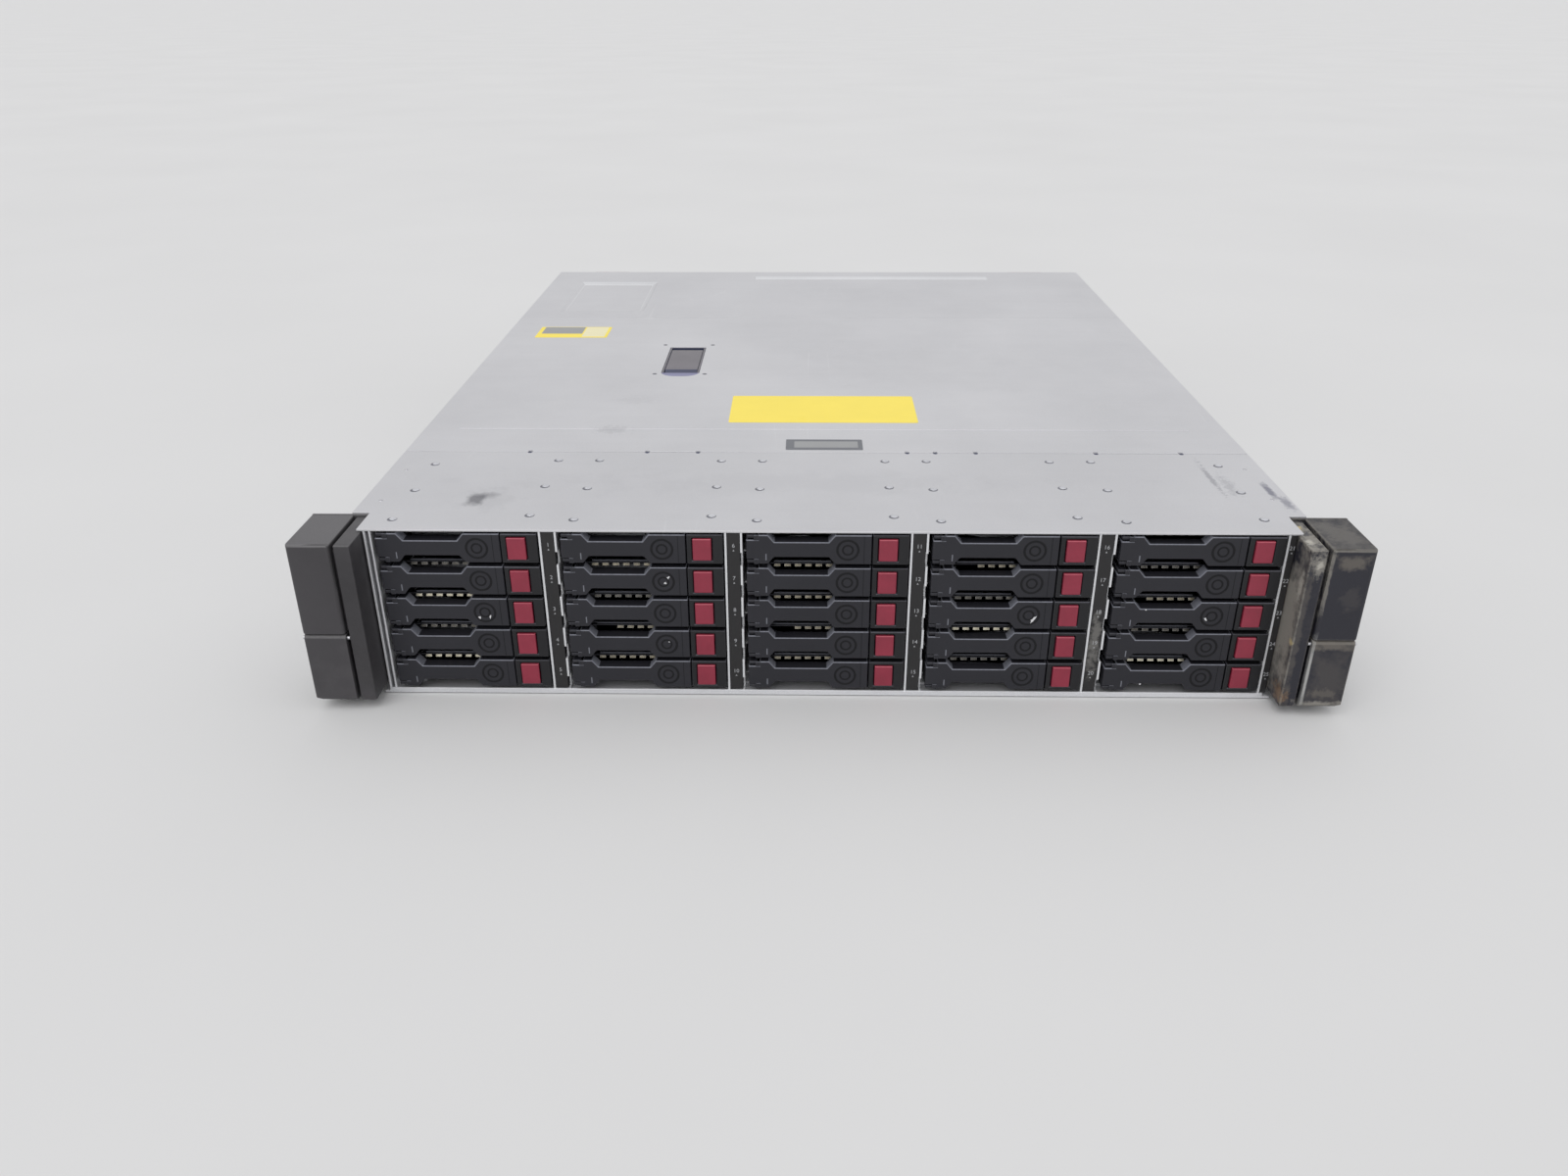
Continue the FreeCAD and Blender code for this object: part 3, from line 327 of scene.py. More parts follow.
def endFinish(tree, shader, colour, rough, height, look):
    tree.links.new(colour, shader.inputs["Base Color"])
    tree.links.new(rough, shader.inputs["Roughness"])
    bump = add(tree, "ShaderNodeBump", {"Strength": 1.0, "Distance": look["bump"], "Height": height})
    if look["rounding"]:
        softened = add(tree, "ShaderNodeBevel", {"Radius": look["rounding"]}, samples=4).outputs["Normal"]
        tree.links.new(softened, bump.inputs["Normal"])
    tree.links.new(bump.outputs["Normal"], shader.inputs["Normal"])


def sheetFinish(name, dark, pale, look, stains=(), **changes):
    look = dict(look, **changes)
    tree, shader, place = newFinish(name, metallic=look["metallic"])
    grain = effect(tree, "sheetGrain", place, Blotch=look["blotch"], Streak=look["streak"], Fine=look["fine"],
                   Brushed=look["brushed"])
    colour = mixColour(tree, spread(tree, grain["Tone"], *look["tones"]), ink(dark), ink(pale))
    colour = scratched(tree, place, worn(tree, place, colour, look), look)
    colour, rough = dusted(tree, place, colour, roughOf(tree, grain["Tone"], look), look)
    endFinish(tree, shader, stained(tree, place, colour, stains), rough, grain["Height"], look)


zinc = {
    "metallic": 0.3, "rough": 0.5, "roughSpan": (0.06, -0.06), "roughTones": (0.35, 0.65),
    "tones": (0.36, 0.64), "brushed": 0.12, "blotch": 9.0, "streak": 150.0, "fine": 2600.0,
    "bump": 0.00001, "rounding": 0.0,
    "edge": (240, 240, 242), "edgeStrength": 0.25, "edgeRadius": 0.0005, "chips": 500.0, "patchy": 0.3,
    "topStrength": 0.0,
    "scratch": 24.0, "thin": 0.006, "rare": 0.6, "scratchStrength": 0.15,
    "dust": 0.2, "dustScale": 22.0, "dustStrength": 0.25, "dustColour": (184, 182, 178), "dustRough": 0.12,
}
smudge, scuff = (70, 70, 78), (70, 72, 100)
coverStains = [  # centre, reach, ragged, scale, boxy, strength, colour
    ((-168.5, 16.5, 87), (4.6, 8.0, 10), 0.35, 200.0, 0.5, 0.66, smudge),
    ((-163.5, 21.5, 87), (5.0, 4.5, 10), 0.4, 180.0, 0.0, 0.34, smudge),
    ((-163.0, 17.0, 87), (15.0, 14.0, 10), 0.7, 120.0, 0.0, 0.1, (120, 120, 126)),
    ((216.5, 31.0, 87), (2.0, 11.0, 10), 0.35, 400.0, 0.5, 0.65, scuff),
    ((219.5, 16.0, 87), (2.4, 9.0, 10), 0.5, 400.0, 0.5, 0.5, scuff),
    ((193.0, 46.5, 87), (1.5, 24.0, 10), 0.9, 500.0, 0.0, 0.45, (112, 112, 122)),
    ((199.0, 38.0, 87), (3.0, 14.0, 10), 1.0, 500.0, 0.0, 0.3, (130, 130, 138)),
    ((-30.0, 40.0, 87), (120.0, 14.0, 10), 0.9, 60.0, 0.0, 0.06, (130, 130, 136)),
]
panelStains = [
    ((-118.0, 118.0, 87), (9.0, 7.0, 10), 1.0, 300.0, 0.0, 0.22, (150, 150, 154)),
    ((-112.0, 172.0, 87), (12.0, 8.0, 10), 0.9, 160.0, 0.0, 0.12, (160, 160, 164)),
    ((60.0, 240.0, 87), (70.0, 50.0, 10), 0.9, 40.0, 0.0, 0.06, (170, 170, 172)),
]
sheetFinish("zincSheet", (198, 198, 201), (210, 210, 213), zinc)
sheetFinish("coverZinc", (197, 197, 200), (209, 209, 212), zinc, coverStains, edgeStrength=0.7)
sheetFinish("panelZinc", (199, 199, 202), (212, 212, 215), zinc, panelStains)
sheetFinish("cageZinc", (208, 209, 212), (230, 231, 234), zinc, rough=0.38, metallic=0.35,
            edge=(250, 250, 252), edgeStrength=0.6, dust=0.1)
sheetFinish("moduleSteel", (178, 179, 183), (200, 201, 205), zinc, rough=0.38, metallic=0.6, brushed=0.6,
            streak=260.0, scratch=40.0)
sheetFinish("supplyCase", (156, 157, 162), (182, 183, 188), zinc, rough=0.42, metallic=0.55, brushed=0.3,
            streak=90.0, scratch=36.0)
sheetFinish("diskCase", (164, 166, 170), (188, 190, 194), zinc, rough=0.34, metallic=0.7, brushed=0.7,
            streak=320.0, fine=3000.0, dust=0.05)
brightLook = dict(zinc, rough=0.26, metallic=0.85, blotch=90.0, streak=700.0, dust=0.05)
sheetFinish("brightSteel", (184, 184, 188), (212, 212, 216), brightLook)
rivetLook = dict(brightLook, rough=0.3, metallic=0.6, edgeStrength=0.1, blotch=300.0)
sheetFinish("rivetSteel", (196, 197, 202), (224, 225, 230), rivetLook)
# dark colour of the painted shadow rings under the rivets, also used for the dark panel spots
sheetFinish("rivetShade", (88, 89, 97), (118, 119, 127), rivetLook, rough=0.5, metallic=0.3)
sheetFinish("pinSteel", (56, 56, 60), (74, 74, 78), rivetLook, rough=0.4, metallic=0.4)
springLook = dict(zinc, rough=0.36, metallic=0.3, blotch=200.0, streak=900.0, dust=0.1, edgeStrength=0.3)
# one spring steel in three tones; the carriers' tabs take them as lit, half-lit and shaded copies, a painted
# light, while the pale and mid tones also colour port pins and chip legs
sheetFinish("springPale", (184, 177, 152), (212, 206, 184), springLook)
sheetFinish("springMid", (112, 105, 86), (140, 132, 110), springLook)
sheetFinish("springShaded", (62, 58, 50), (84, 80, 70), springLook)


def plasticFinish(name, colour, look, stains=(), **changes):
    look = dict(look, **changes)
    tree, shader, place = newFinish(name, specular=look["specular"])
    cloud = spread(tree, noise(tree, place, look["cloud"], 4.0, 0.6), *look["tones"])
    colour = mixColour(tree, cloud, dimmed(ink(colour), look["dim"]), ink(colour))
    pebble = noise(tree, place, look["pebble"], 2.0, 0.5)
    colour, rough = dusted(tree, place, colour, roughOf(tree, pebble, look), look)
    colour = worn(tree, place, scratched(tree, place, colour, look), look)
    endFinish(tree, shader, stained(tree, place, colour, stains), rough, pebble, look)


moulded = {
    "specular": 0.45, "rough": 0.48, "roughSpan": (-0.05, 0.07), "roughTones": (0.3, 0.7),
    "tones": (0.3, 0.7), "cloud": 30.0, "dim": 0.82, "pebble": 3200.0, "bump": 0.00002, "rounding": 0.0,
    "dust": 0.2, "dustScale": 70.0, "dustStrength": 0.2, "dustColour": (122, 118, 112), "dustRough": 0.2,
    "scratch": 90.0, "thin": 0.01, "rare": 0.66, "scratchStrength": 0.0,
    "edgeRadius": 0.0005, "chips": 900.0, "patchy": 0.3, "edgeStrength": 0.3, "edge": (104, 104, 112),
    # strength and colour of a painted highlight along the edges that face up
    "topStrength": 0.5, "top": (116, 118, 130),
}
# bezels: a strong painted highlight along their upward edges
bezelLook = dict(moulded, specular=0.36, edgeRadius=0.0008, rounding=0.0005, topStrength=0.9,
                 top=(130, 132, 142), edgeStrength=0.2)
# bezels, button blocks and hinge lugs: their top colours are painted highlights, weak on the lugs
plasticFinish("carrierPlastic", (40, 40, 46), bezelLook)
plasticFinish("blockPlastic", (30, 30, 33), bezelLook, top=(84, 84, 92))
plasticFinish("lugPlastic", (40, 40, 46), bezelLook, topStrength=0.15, edgeStrength=0.1)
plasticFinish("sledPlastic", (30, 30, 34), moulded, rough=0.6, edgeStrength=0.1, topStrength=0.2)
# light grey of the ridge on each cross wall, a painted highlight of its lit top edge
plasticFinish("litEdgeGrey", (96, 98, 106), moulded, rough=0.5, edgeStrength=0.2)
plasticFinish("ringPlastic", (26, 26, 29), moulded, specular=0.22, rough=0.6, edgeStrength=0.0,
              dustStrength=0.05)
# the button's top colour is a painted highlight along its upward edges
plasticFinish("buttonRed", (146, 46, 66), moulded, rough=0.34, cloud=120.0, edge=(176, 70, 88),
              top=(206, 110, 122), dustColour=(170, 100, 108), dustStrength=0.15)
# the top colour of this look is a painted highlight along the ears' upward edges
earLook = dict(moulded, rough=0.52, pebble=2200.0, bump=0.00003, edge=(104, 103, 104), edgeRadius=0.0011,
               top=(112, 111, 112), topStrength=0.55, dust=0.45, dustScale=40.0, dustStrength=0.35,
               dustColour=(128, 126, 126))
# painted light and shade on the left ear, in the stain list's columns
leftEarPaintedLight = [
    # painted shade darkening the front of the left post
    ((-216.5, -30.0, 44.0), (5.0, 8.0, 42.0), 0.2, 60.0, 1.0, 0.6, (40, 39, 41)),
    # painted light lightening the left ear's top face
    ((-230.0, -18.0, 87.0), (22.0, 40.0, 1.6), 0.2, 60.0, 1.0, 0.5, (120, 119, 121)),
]
# on the left ear the strong upward dust film also lightens the top: dust and painted light together
plasticFinish("earPlastic", (66, 64, 67), earLook, leftEarPaintedLight)
plasticFinish("bracketBlack", (46, 46, 56), moulded, rough=0.5, edgeStrength=0.2)
tape, grime, film = (150, 146, 138), (112, 106, 98), (104, 101, 97)
pit, fleckPale, glue = (38, 40, 50), (192, 188, 178), (196, 178, 128)
earStains = [
    ((231.0, -19.0, 86.6), (11.0, 18.0, 0.9), 0.5, 160.0, 1.0, 0.75, film),
    ((216.5, -20.0, 85.6), (5.0, 16.0, 2.4), 0.8, 260.0, 0.5, 0.75, tape),
    ((212.8, -24.0, 44.0), (0.8, 13.0, 36.0), 0.5, 130.0, 1.0, 0.85, tape),
    ((214.5, -34.5, 46.0), (1.6, 2.0, 38.0), 0.8, 220.0, 1.0, 0.3, grime),
    ((218.0, -34.5, 79.0), (4.0, 3.0, 7.0), 0.9, 300.0, 0.0, 0.6, tape),
    ((231.5, -36.0, 80.0), (7.5, 2.0, 3.6), 0.5, 260.0, 1.0, 0.6, grime),
    ((234.5, -36.0, 61.0), (5.0, 2.0, 7.0), 0.9, 200.0, 0.0, 0.12, grime),
    ((231.5, -36.0, 22.0), (9.0, 2.0, 15.0), 0.5, 120.0, 1.0, 0.22, grime),
    ((222.3, -36.0, 70.0), (0.7, 3.0, 16.0), 0.5, 200.0, 1.0, 0.5, tape),
    ((231.5, -36.0, 38.4), (10.5, 3.0, 2.4), 0.45, 260.0, 1.0, 0.65, grime),
    ((222.2, -36.0, 22.5), (0.8, 2.5, 18.5), 0.2, 160.0, 1.0, 0.9, (168, 168, 166)),
    ((231.0, -36.0, 13.0), (8.0, 2.0, 2.4), 0.8, 300.0, 0.5, 0.4, grime),
    ((230.5, -35.0, 6.4), (11.0, 5.0, 2.2), 0.5, 260.0, 1.0, 0.7, tape),
    ((213.5, -31.0, 11.0), (2.6, 6.0, 5.0), 0.8, 300.0, 0.0, 0.6, (140, 112, 84)),
    ((216.0, -10.0, 85.6), (1.4, 2.4, 2.0), 0.6, 500.0, 0.0, 0.8, glue),
    ((213.0, -33.0, 39.0), (1.2, 2.0, 1.8), 0.6, 500.0, 0.0, 0.8, glue),
    ((216.5, -17.0, 85.8), (2.2, 2.6, 2.0), 0.8, 420.0, 0.0, 0.75, pit),
    ((214.0, -33.5, 75.0), (2.0, 2.6, 4.0), 0.8, 420.0, 0.0, 0.75, pit),
    ((218.0, -35.0, 83.0), (1.8, 2.0, 2.2), 0.8, 420.0, 0.0, 0.75, pit),
    ((213.0, -14.0, 74.0), (1.0, 6.0, 9.0), 0.9, 260.0, 0.0, 0.6, pit),
    ((215.0, -26.0, 85.8), (1.8, 3.4, 2.0), 0.8, 420.0, 0.0, 0.7, fleckPale),
    ((217.5, -34.5, 78.5), (1.6, 2.4, 2.6), 0.8, 420.0, 0.0, 0.6, fleckPale),
    ((213.0, -31.0, 66.0), (1.0, 2.4, 7.0), 0.9, 420.0, 0.0, 0.5, fleckPale),
]
# the worn ear's top colour is a painted highlight along its upward edges
plasticFinish("earWorn", (38, 38, 47), earLook, earStains, dust=0.4, dustScale=90.0,
              dustColour=(112, 107, 100), edge=(130, 126, 118), edgeStrength=0.55, top=(136, 132, 124),
              edgeRadius=0.0013, chips=420.0, scratch=70.0, rare=0.62, scratchStrength=0.06)
stripStains = [((127.4, -18.7, 29.0), (3.0, 1.4, 16.0), 0.8, 260.0, 0.0, 0.4, (150, 148, 144))]
plasticFinish("stripBlack", (38, 37, 38), moulded, stripStains, rough=0.55, edgeStrength=0.2)
# the paddle's top colour is a painted highlight along its upward edges
plasticFinish("paddleGrey", (124, 121, 126), moulded, rough=0.5, edge=(76, 78, 100), edgeStrength=0.5,
              top=(110, 110, 124))
plasticFinish("lipLilac", (138, 138, 172), moulded, rough=0.45, edge=(90, 92, 124))
plasticFinish("latchPlastic", (62, 66, 92), moulded, rough=0.5, edge=(110, 116, 150))
plasticFinish("fanBlack", (36, 36, 38), moulded, rough=0.5)
plasticFinish("portBlack", (24, 24, 26), moulded, rough=0.5, edgeStrength=0.1, topStrength=0.1,
              dustStrength=0.1)
plasticFinish("ejectorGrey", (88, 90, 96), moulded, rough=0.46, edge=(150, 152, 158))
paper = dict(moulded, specular=0.3, rough=0.55, cloud=40.0, dim=0.96, pebble=2600.0, bump=0.000006,
             dustStrength=0.1, edgeStrength=0.0, dust=0.3)
plasticFinish("plateYellow", (255, 233, 102), paper, dustColour=(226, 204, 96))
plasticFinish("plateGrey", (120, 122, 127), paper, dustColour=(140, 140, 144))
plasticFinish("plateMid", (160, 161, 162), paper, dustColour=(170, 170, 166))
plasticFinish("platePale", (240, 233, 194), paper)
plasticFinish("plateWhite", (228, 228, 226), paper)
plasticFinish("inkWhite", (216, 216, 218), paper, rough=0.6)
plasticFinish("inkDigit", (170, 171, 174), paper, rough=0.6)
# pale grey tick left of each lever's lower notch
plasticFinish("paleTick", (120, 122, 130), paper, rough=0.6)
# dark colour painted into the punched holes by the seam as their shade
plasticFinish("punchShade", (70, 74, 96), paper, rough=0.6)
plasticFinish("boardGreen", (30, 92, 56), moulded, rough=0.4, specular=0.5, cloud=60.0, dim=0.8, pebble=900.0,
              edgeStrength=0.2, edge=(150, 170, 110), scratch=160.0, rare=0.5, scratchStrength=0.3,
              topStrength=0.2)
plasticFinish("chipBlack", (40, 40, 42), moulded, rough=0.42)
lensLook = dict(moulded, rough=0.25, dim=0.9, edgeStrength=0.0, dustStrength=0.05)
plasticFinish("lensGreen", (70, 190, 90), lensLook)
plasticFinish("lensAmber", (214, 150, 50), lensLook)
print("finishes:", len(finishes))


# CAD nodes keep their shape: seams of the facets welded, edges softened, and a finish for each face

carrier = {
    "count": 25, "rows": 5, "front": -20.0, "height": 14.6, "looseColumn": 0,
    "diskFrom": 41.0, "diskAcross": (2.2, 72.2), "buttonTo": 5.6, "buttonAcross": (60.4, 69.2),
    "buttonUp": (1.7, 12.9), "hinge": 2.5, "pinReach": 1.0, "frontTo": 7.0, "lugAcross": 4.6, "lugUp": 2.1,
    "blockFrom": 57.5,
}
zones = {
    "rearFace": 529.5, "trayLip": -16.5, "tubRim": 86.7, "connectors": 130.4, "proud": 0.1, "fanProud": 0.2,
    "portDeep": 14.5, "portsAcross": (-90, 0), "inletDeep": 15.5, "inletsAcross": (54, 130),
    "supplyMiddles": (22, 65), "inletUp": 17.5,
}
dressing = {"weld": 0.000004, "flat": 1.0, "sharp": 36, "segments": 2}
rearFace = zones["rearFace"]


def isLoose(number):
    # carriers of this column have their levers and buttons as bodies of their own
    return (number - 1) // carrier["rows"] == carrier["looseColumn"]


def carrierBase(number):
    source = f"lever_{number:02d}" if isLoose(number) else f"drive_{number:02d}"
    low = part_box(source)[0]
    return Vector((low.x, carrier["front"] * mm, low.z))


def dress(name, width, materials, chooser=None, flatten=True):
    body = nodes[name]
    mesh = body.data
    mesh.materials.clear()
    for material in materials:
        mesh.materials.append(finishes[material])
    if "custom_normal" in mesh.attributes:
        mesh.attributes.remove(mesh.attributes["custom_normal"])
    for face in mesh.polygons:
        face.use_smooth = True
        face.material_index = chooser(face.center / mm) if chooser else 0
    weld = body.modifiers.new("weld", "WELD")
    weld.merge_threshold = dressing["weld"]
    if flatten:
        level = body.modifiers.new("flatten", "DECIMATE")
        level.decimate_type = "DISSOLVE"
        level.angle_limit = math.radians(dressing["flat"])
        level.delimit = {"MATERIAL"}
    soften = body.modifiers.new("soften", "BEVEL")
    soften.width = width * mm
    soften.segments = dressing["segments"]
    soften.limit_method = "ANGLE"
    soften.angle_limit = math.radians(dressing["sharp"])
    soften.use_clamp_overlap = False
    soften.harden_normals = True


def within(value, span):
    return span[0] < value < span[1]


def driveChooser(number):
    base = carrierBase(number) / mm
    hinge = carrier["hinge"]

    def choose(centre):
        u, d, w = centre - base
        if d > carrier["diskFrom"] and within(u, carrier["diskAcross"]):
            return 3
        if d < carrier["buttonTo"] and within(u, carrier["buttonAcross"]) and within(w, carrier["buttonUp"]):
            return 2
        if math.hypot(u - hinge, d - hinge) < carrier["pinReach"] and isLoose(number):
            return 4
        if d > carrier["frontTo"]:
            return 1
        fromEdge = min(w, carrier["height"] - w)
        if d < carrier["frontTo"] and u < carrier["lugAcross"] and fromEdge < carrier["lugUp"]:
            return 6
        return 5 if u > carrier["blockFrom"] else 0

    return choose


def moduleChooser(deep, across, reach=None):
    # 1 on what stands behind the rear face, 2 inside the wells that are sunk into it
    def choose(centre):
        if centre.y > rearFace + zones["proud"]:
            return 1
        sunk = within(centre.y, (rearFace - deep, rearFace - zones["proud"])) and within(centre.x, across)
        level = reach is None or min(abs(centre.z - middle) for middle in zones["supplyMiddles"]) < reach
        return 2 if sunk and level else 0

    return choose


carrierPalette = ["carrierPlastic", "sledPlastic", "buttonRed", "diskCase", "pinSteel", "blockPlastic",
                  "lugPlastic"]
for number in range(1, carrier["count"] + 1):
    dress(f"drive_{number:02d}", 0.55, carrierPalette, driveChooser(number))
for number in range(1, carrier["rows"] + 1):
    dress(f"lever_{number:02d}", 0.55, ["carrierPlastic"])
    dress(f"button_{number:02d}", 0.4, ["buttonRed"])
for name, width, material in (
    ("front_cover", 0.22, "coverZinc"), ("rear_cover", 0.18, "zincSheet"),
    ("access_panel", 0.22, "panelZinc"), ("cage_walls", 0.12, "cageZinc"), ("module_cage", 0.2, "zincSheet"),
    ("number_strips", 0.3, "stripBlack"), ("rack_brackets", 0.2, "bracketBlack"),
    ("ear_hinge_pins", 0.2, "brightSteel"), ("left_ear", 0.6, "earPlastic"), ("right_ear", 0.6, "earWorn"),
    ("panel_latch", 0.5, "paddleGrey"), ("fan_rotor_1", 0.3, "fanBlack"), ("fan_rotor_2", 0.3, "fanBlack"),
):
    dress(name, width, [material])
dress("base_tray", 0.22, ["zincSheet", "cageZinc"], lambda centre: int(centre.y < zones["trayLip"]))
dress("panel_latch_housing", 0.2, ["latchPlastic", "paddleGrey"],
      lambda centre: int(centre.z > zones["tubRim"]))
dress("left_ear_latch", 0.35, ["earPlastic"], flatten=False)
dress("right_ear_latch", 0.35, ["earWorn"], flatten=False)
dress("midplane", 0.2, ["boardGreen", "portBlack"], lambda centre: int(centre.y < zones["connectors"]))
fanRear = rearFace + zones["fanProud"]
ioChooser = moduleChooser(zones["portDeep"], zones["portsAcross"])
supplyChooser = moduleChooser(zones["inletDeep"], zones["inletsAcross"], zones["inletUp"])
for letter, number in (("a", 1), ("b", 2)):
    dress(f"io_module_{letter}", 0.3, ["moduleSteel", "ejectorGrey", "portBlack"], ioChooser)
    dress(f"power_supply_{number}", 0.4, ["supplyCase", "buttonRed", "portBlack"], supplyChooser)
    dress(f"fan_module_{number}", 0.4, ["fanBlack", "buttonRed"], lambda centre: int(centre.y > fanRear))
print("nodes dressed")


# pieces made here

def settle(piece, body):
    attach(piece, body)


def smoothed(mesh, sharpest):
    for face in mesh.polygons:
        face.use_smooth = True
    mesh.set_sharp_from_angle(angle=math.radians(sharpest))


def pieceFrom(shape, name, materials, body, smooth=35):
    bmesh.ops.remove_doubles(shape, verts=shape.verts, dist=0.000001)
    bmesh.ops.recalc_face_normals(shape, faces=shape.faces)
    mesh = bpy.data.meshes.new(name)
    shape.to_mesh(mesh)
    shape.free()
    for material in materials:
        mesh.materials.append(finishes[material])
    smoothed(mesh, smooth)
    settle(newObject(name, mesh), body)


def point(x, y, z):
    return Vector((x, y, z)) * mm


def rearPoint(x, y, z):
    return point(x, rearFace + y, z)


def lying(low, high, base=origin):
    # for addSlab: a plan in X and Y between two heights
    return lambda x, y, up: base + point(x, y, low + (high - low) * up)


def facing(back, front, base=origin):
    # for addSlab: an outline in X and Z between two depths
    return lambda x, z, out: base + point(x, back + (front - back) * out, z)


def onRear(thick):
    return lambda x, z, out: rearPoint(x, thick * out, z)


def spanning(left, right):
    # for addSlab: a section in Y and Z drawn out along X
    return lambda y, z, across: point(left + (right - left) * across, y, z)


def addBlock(shape, low, high, material=0):
    corners = [(x, y, z) for x in (low[0], high[0]) for y in (low[1], high[1]) for z in (low[2], high[2])]
    points = [shape.verts.new(corner) for corner in corners]
    for loop in ((0, 1, 3, 2), (4, 6, 7, 5), (0, 4, 5, 1), (2, 3, 7, 6), (0, 2, 6, 4), (1, 5, 7, 3)):
        shape.faces.new([points[index] for index in loop]).material_index = material


def roundedLoop(left, right, low, high, radius, steps=4):
    loop = []
    for middleX, middleY, start in ((right - radius, high - radius, 0), (left + radius, high - radius, 90),
                                    (left + radius, low + radius, 180), (right - radius, low + radius, 270)):
        for step in range(steps + 1):
            angle = math.radians(start + 90 * step / steps)
            loop.append((middleX + radius * math.cos(angle), middleY + radius * math.sin(angle)))
    return loop


def turns(count):
    return [2 * math.pi * step / count for step in range(count)]


def addHoop(shape, loops, material=0):
    # skins loops of equal length into a closed ring, the last one joined to the first
    rings = [[shape.verts.new(corner) for corner in loop] for loop in loops]
    for first, second in zip(rings, rings[1:] + rings[:1]):
        for step in range(len(first)):
            after = (step + 1) % len(first)
            wall = (first[step], first[after], second[after], second[step])
            shape.faces.new(wall).material_index = material


def addSlab(shape, loop, place, material=0):
    # a flat plate from a loop: place turns (across, along, up) into a point, up runs from 0 to 1
    under = [shape.verts.new(place(x, y, 0.0)) for x, y in loop]
    over = [shape.verts.new(place(x, y, 1.0)) for x, y in loop]
    shape.faces.new(under[::-1]).material_index = material
    shape.faces.new(over).material_index = material
    for index in range(len(loop)):
        following = (index + 1) % len(loop)
        wall = [under[index], under[following], over[following], over[index]]
        shape.faces.new(wall).material_index = material


def addTurned(shape, profile, place, segments=24, material=0):
    # a lathe: profile pairs are (radius, along), place turns (x, y, along) into a point
    rings = []
    for radius, along in profile:
        around = turns(segments) if radius else [0.0]
        corners = [place(radius * math.cos(turn), radius * math.sin(turn), along) for turn in around]
        rings.append([shape.verts.new(corner) for corner in corners])
    for first, second in zip(rings, rings[1:]):
        for step in range(segments):
            after = (step + 1) % segments
            corners = [first[step % len(first)], first[after % len(first)],
                       second[after % len(second)], second[step % len(second)]]
            unique = list(dict.fromkeys(corners))
            if len(unique) > 2:
                shape.faces.new(unique).material_index = material


# Geometry Nodes trees, each with its shape planted at every place

trees = {}


def newTree(name, inputs):
    tree = bpy.data.node_groups.new(name, "GeometryNodeTree")
    tree.interface.new_socket("Places", in_out="INPUT", socket_type="NodeSocketGeometry")
    for label, value in inputs.items():
        kind = "NodeSocketInt" if isinstance(value, int) else "NodeSocketFloat"
        tree.interface.new_socket(label, in_out="INPUT", socket_type=kind).default_value = value
    tree.interface.new_socket("Finish", in_out="INPUT", socket_type="NodeSocketMaterial")
    tree.interface.new_socket("Shape", in_out="OUTPUT", socket_type="NodeSocketGeometry")
    trees[name] = tree
    return tree, add(tree, "NodeGroupInput").outputs


def planted(tree, places, shape, scale=None):
    wires = {"Points": places, "Instance": shape}
    if scale is not None:
        wires["Scale"] = scale
    return add(tree, "GeometryNodeInstanceOnPoints", wires).outputs[0]


def endTree(tree, given, shape, scale=None):
    placed = planted(tree, given["Places"], shape, scale)
    real = add(tree, "GeometryNodeRealizeInstances", {"Geometry": placed}).outputs[0]
    wires = {"Geometry": real, "Material": given["Finish"]}
    add(tree, "NodeGroupOutput", {"Shape": add(tree, "GeometryNodeSetMaterial", wires).outputs[0]})


def moved(tree, shape, shift=None, scale=None, turn=None):
    wires = {"Geometry": shape}
    for label, value in (("Translation", shift), ("Scale", scale), ("Rotation", turn)):
        if value is not None:
            wires[label] = value
    return add(tree, "GeometryNodeTransform", wires).outputs[0]


def joined(tree, *shapes):
    join = add(tree, "GeometryNodeJoinGeometry")
    for shape in shapes:
        tree.links.new(shape, join.inputs[0])
    return join.outputs[0]


def thickened(tree, sheet, depth):
    # a closed plate from an open sheet
    wires = {"Mesh": sheet, "Offset Scale": depth, "Individual": False}
    front = add(tree, "GeometryNodeExtrudeMesh", wires).outputs["Mesh"]
    back = add(tree, "GeometryNodeFlipFaces", {"Mesh": sheet}).outputs[0]
    wires = {"Geometry": joined(tree, front, back), "Distance": 0.000001}
    return add(tree, "GeometryNodeMergeByDistance", wires).outputs[0]


def triple(tree, x=0.0, y=0.0, z=0.0):
    return add(tree, "ShaderNodeCombineXYZ", {0: x, 1: y, 2: z}).outputs[0]


def raised(tree, shape, height, share):
    return moved(tree, shape, triple(tree, z=calc(tree, "MULTIPLY", height, share)))


def rod(tree, radius, depth, sides):
    wires = {"Vertices": sides, "Radius": radius, "Depth": depth}
    return add(tree, "GeometryNodeMeshCylinder", wires).outputs["Mesh"]


def circle(tree, radius, corners):
    wires = {"Resolution": corners, "Radius": radius}
    return add(tree, "GeometryNodeCurvePrimitiveCircle", wires).outputs[0]


def rowOf(tree, shape, count, pitch, axis):
    # copies of a shape in a row along one axis, with the row's middle at zero
    reach = calc(tree, "MULTIPLY", calc(tree, "SUBTRACT", count, 1.0), pitch)
    start = triple(tree, **{axis: calc(tree, "MULTIPLY", reach, -0.5)})
    wires = {"Count": count, "Start Location": start, "Offset": triple(tree, **{axis: pitch})}
    return planted(tree, add(tree, "GeometryNodeMeshLine", wires).outputs["Mesh"], shape)


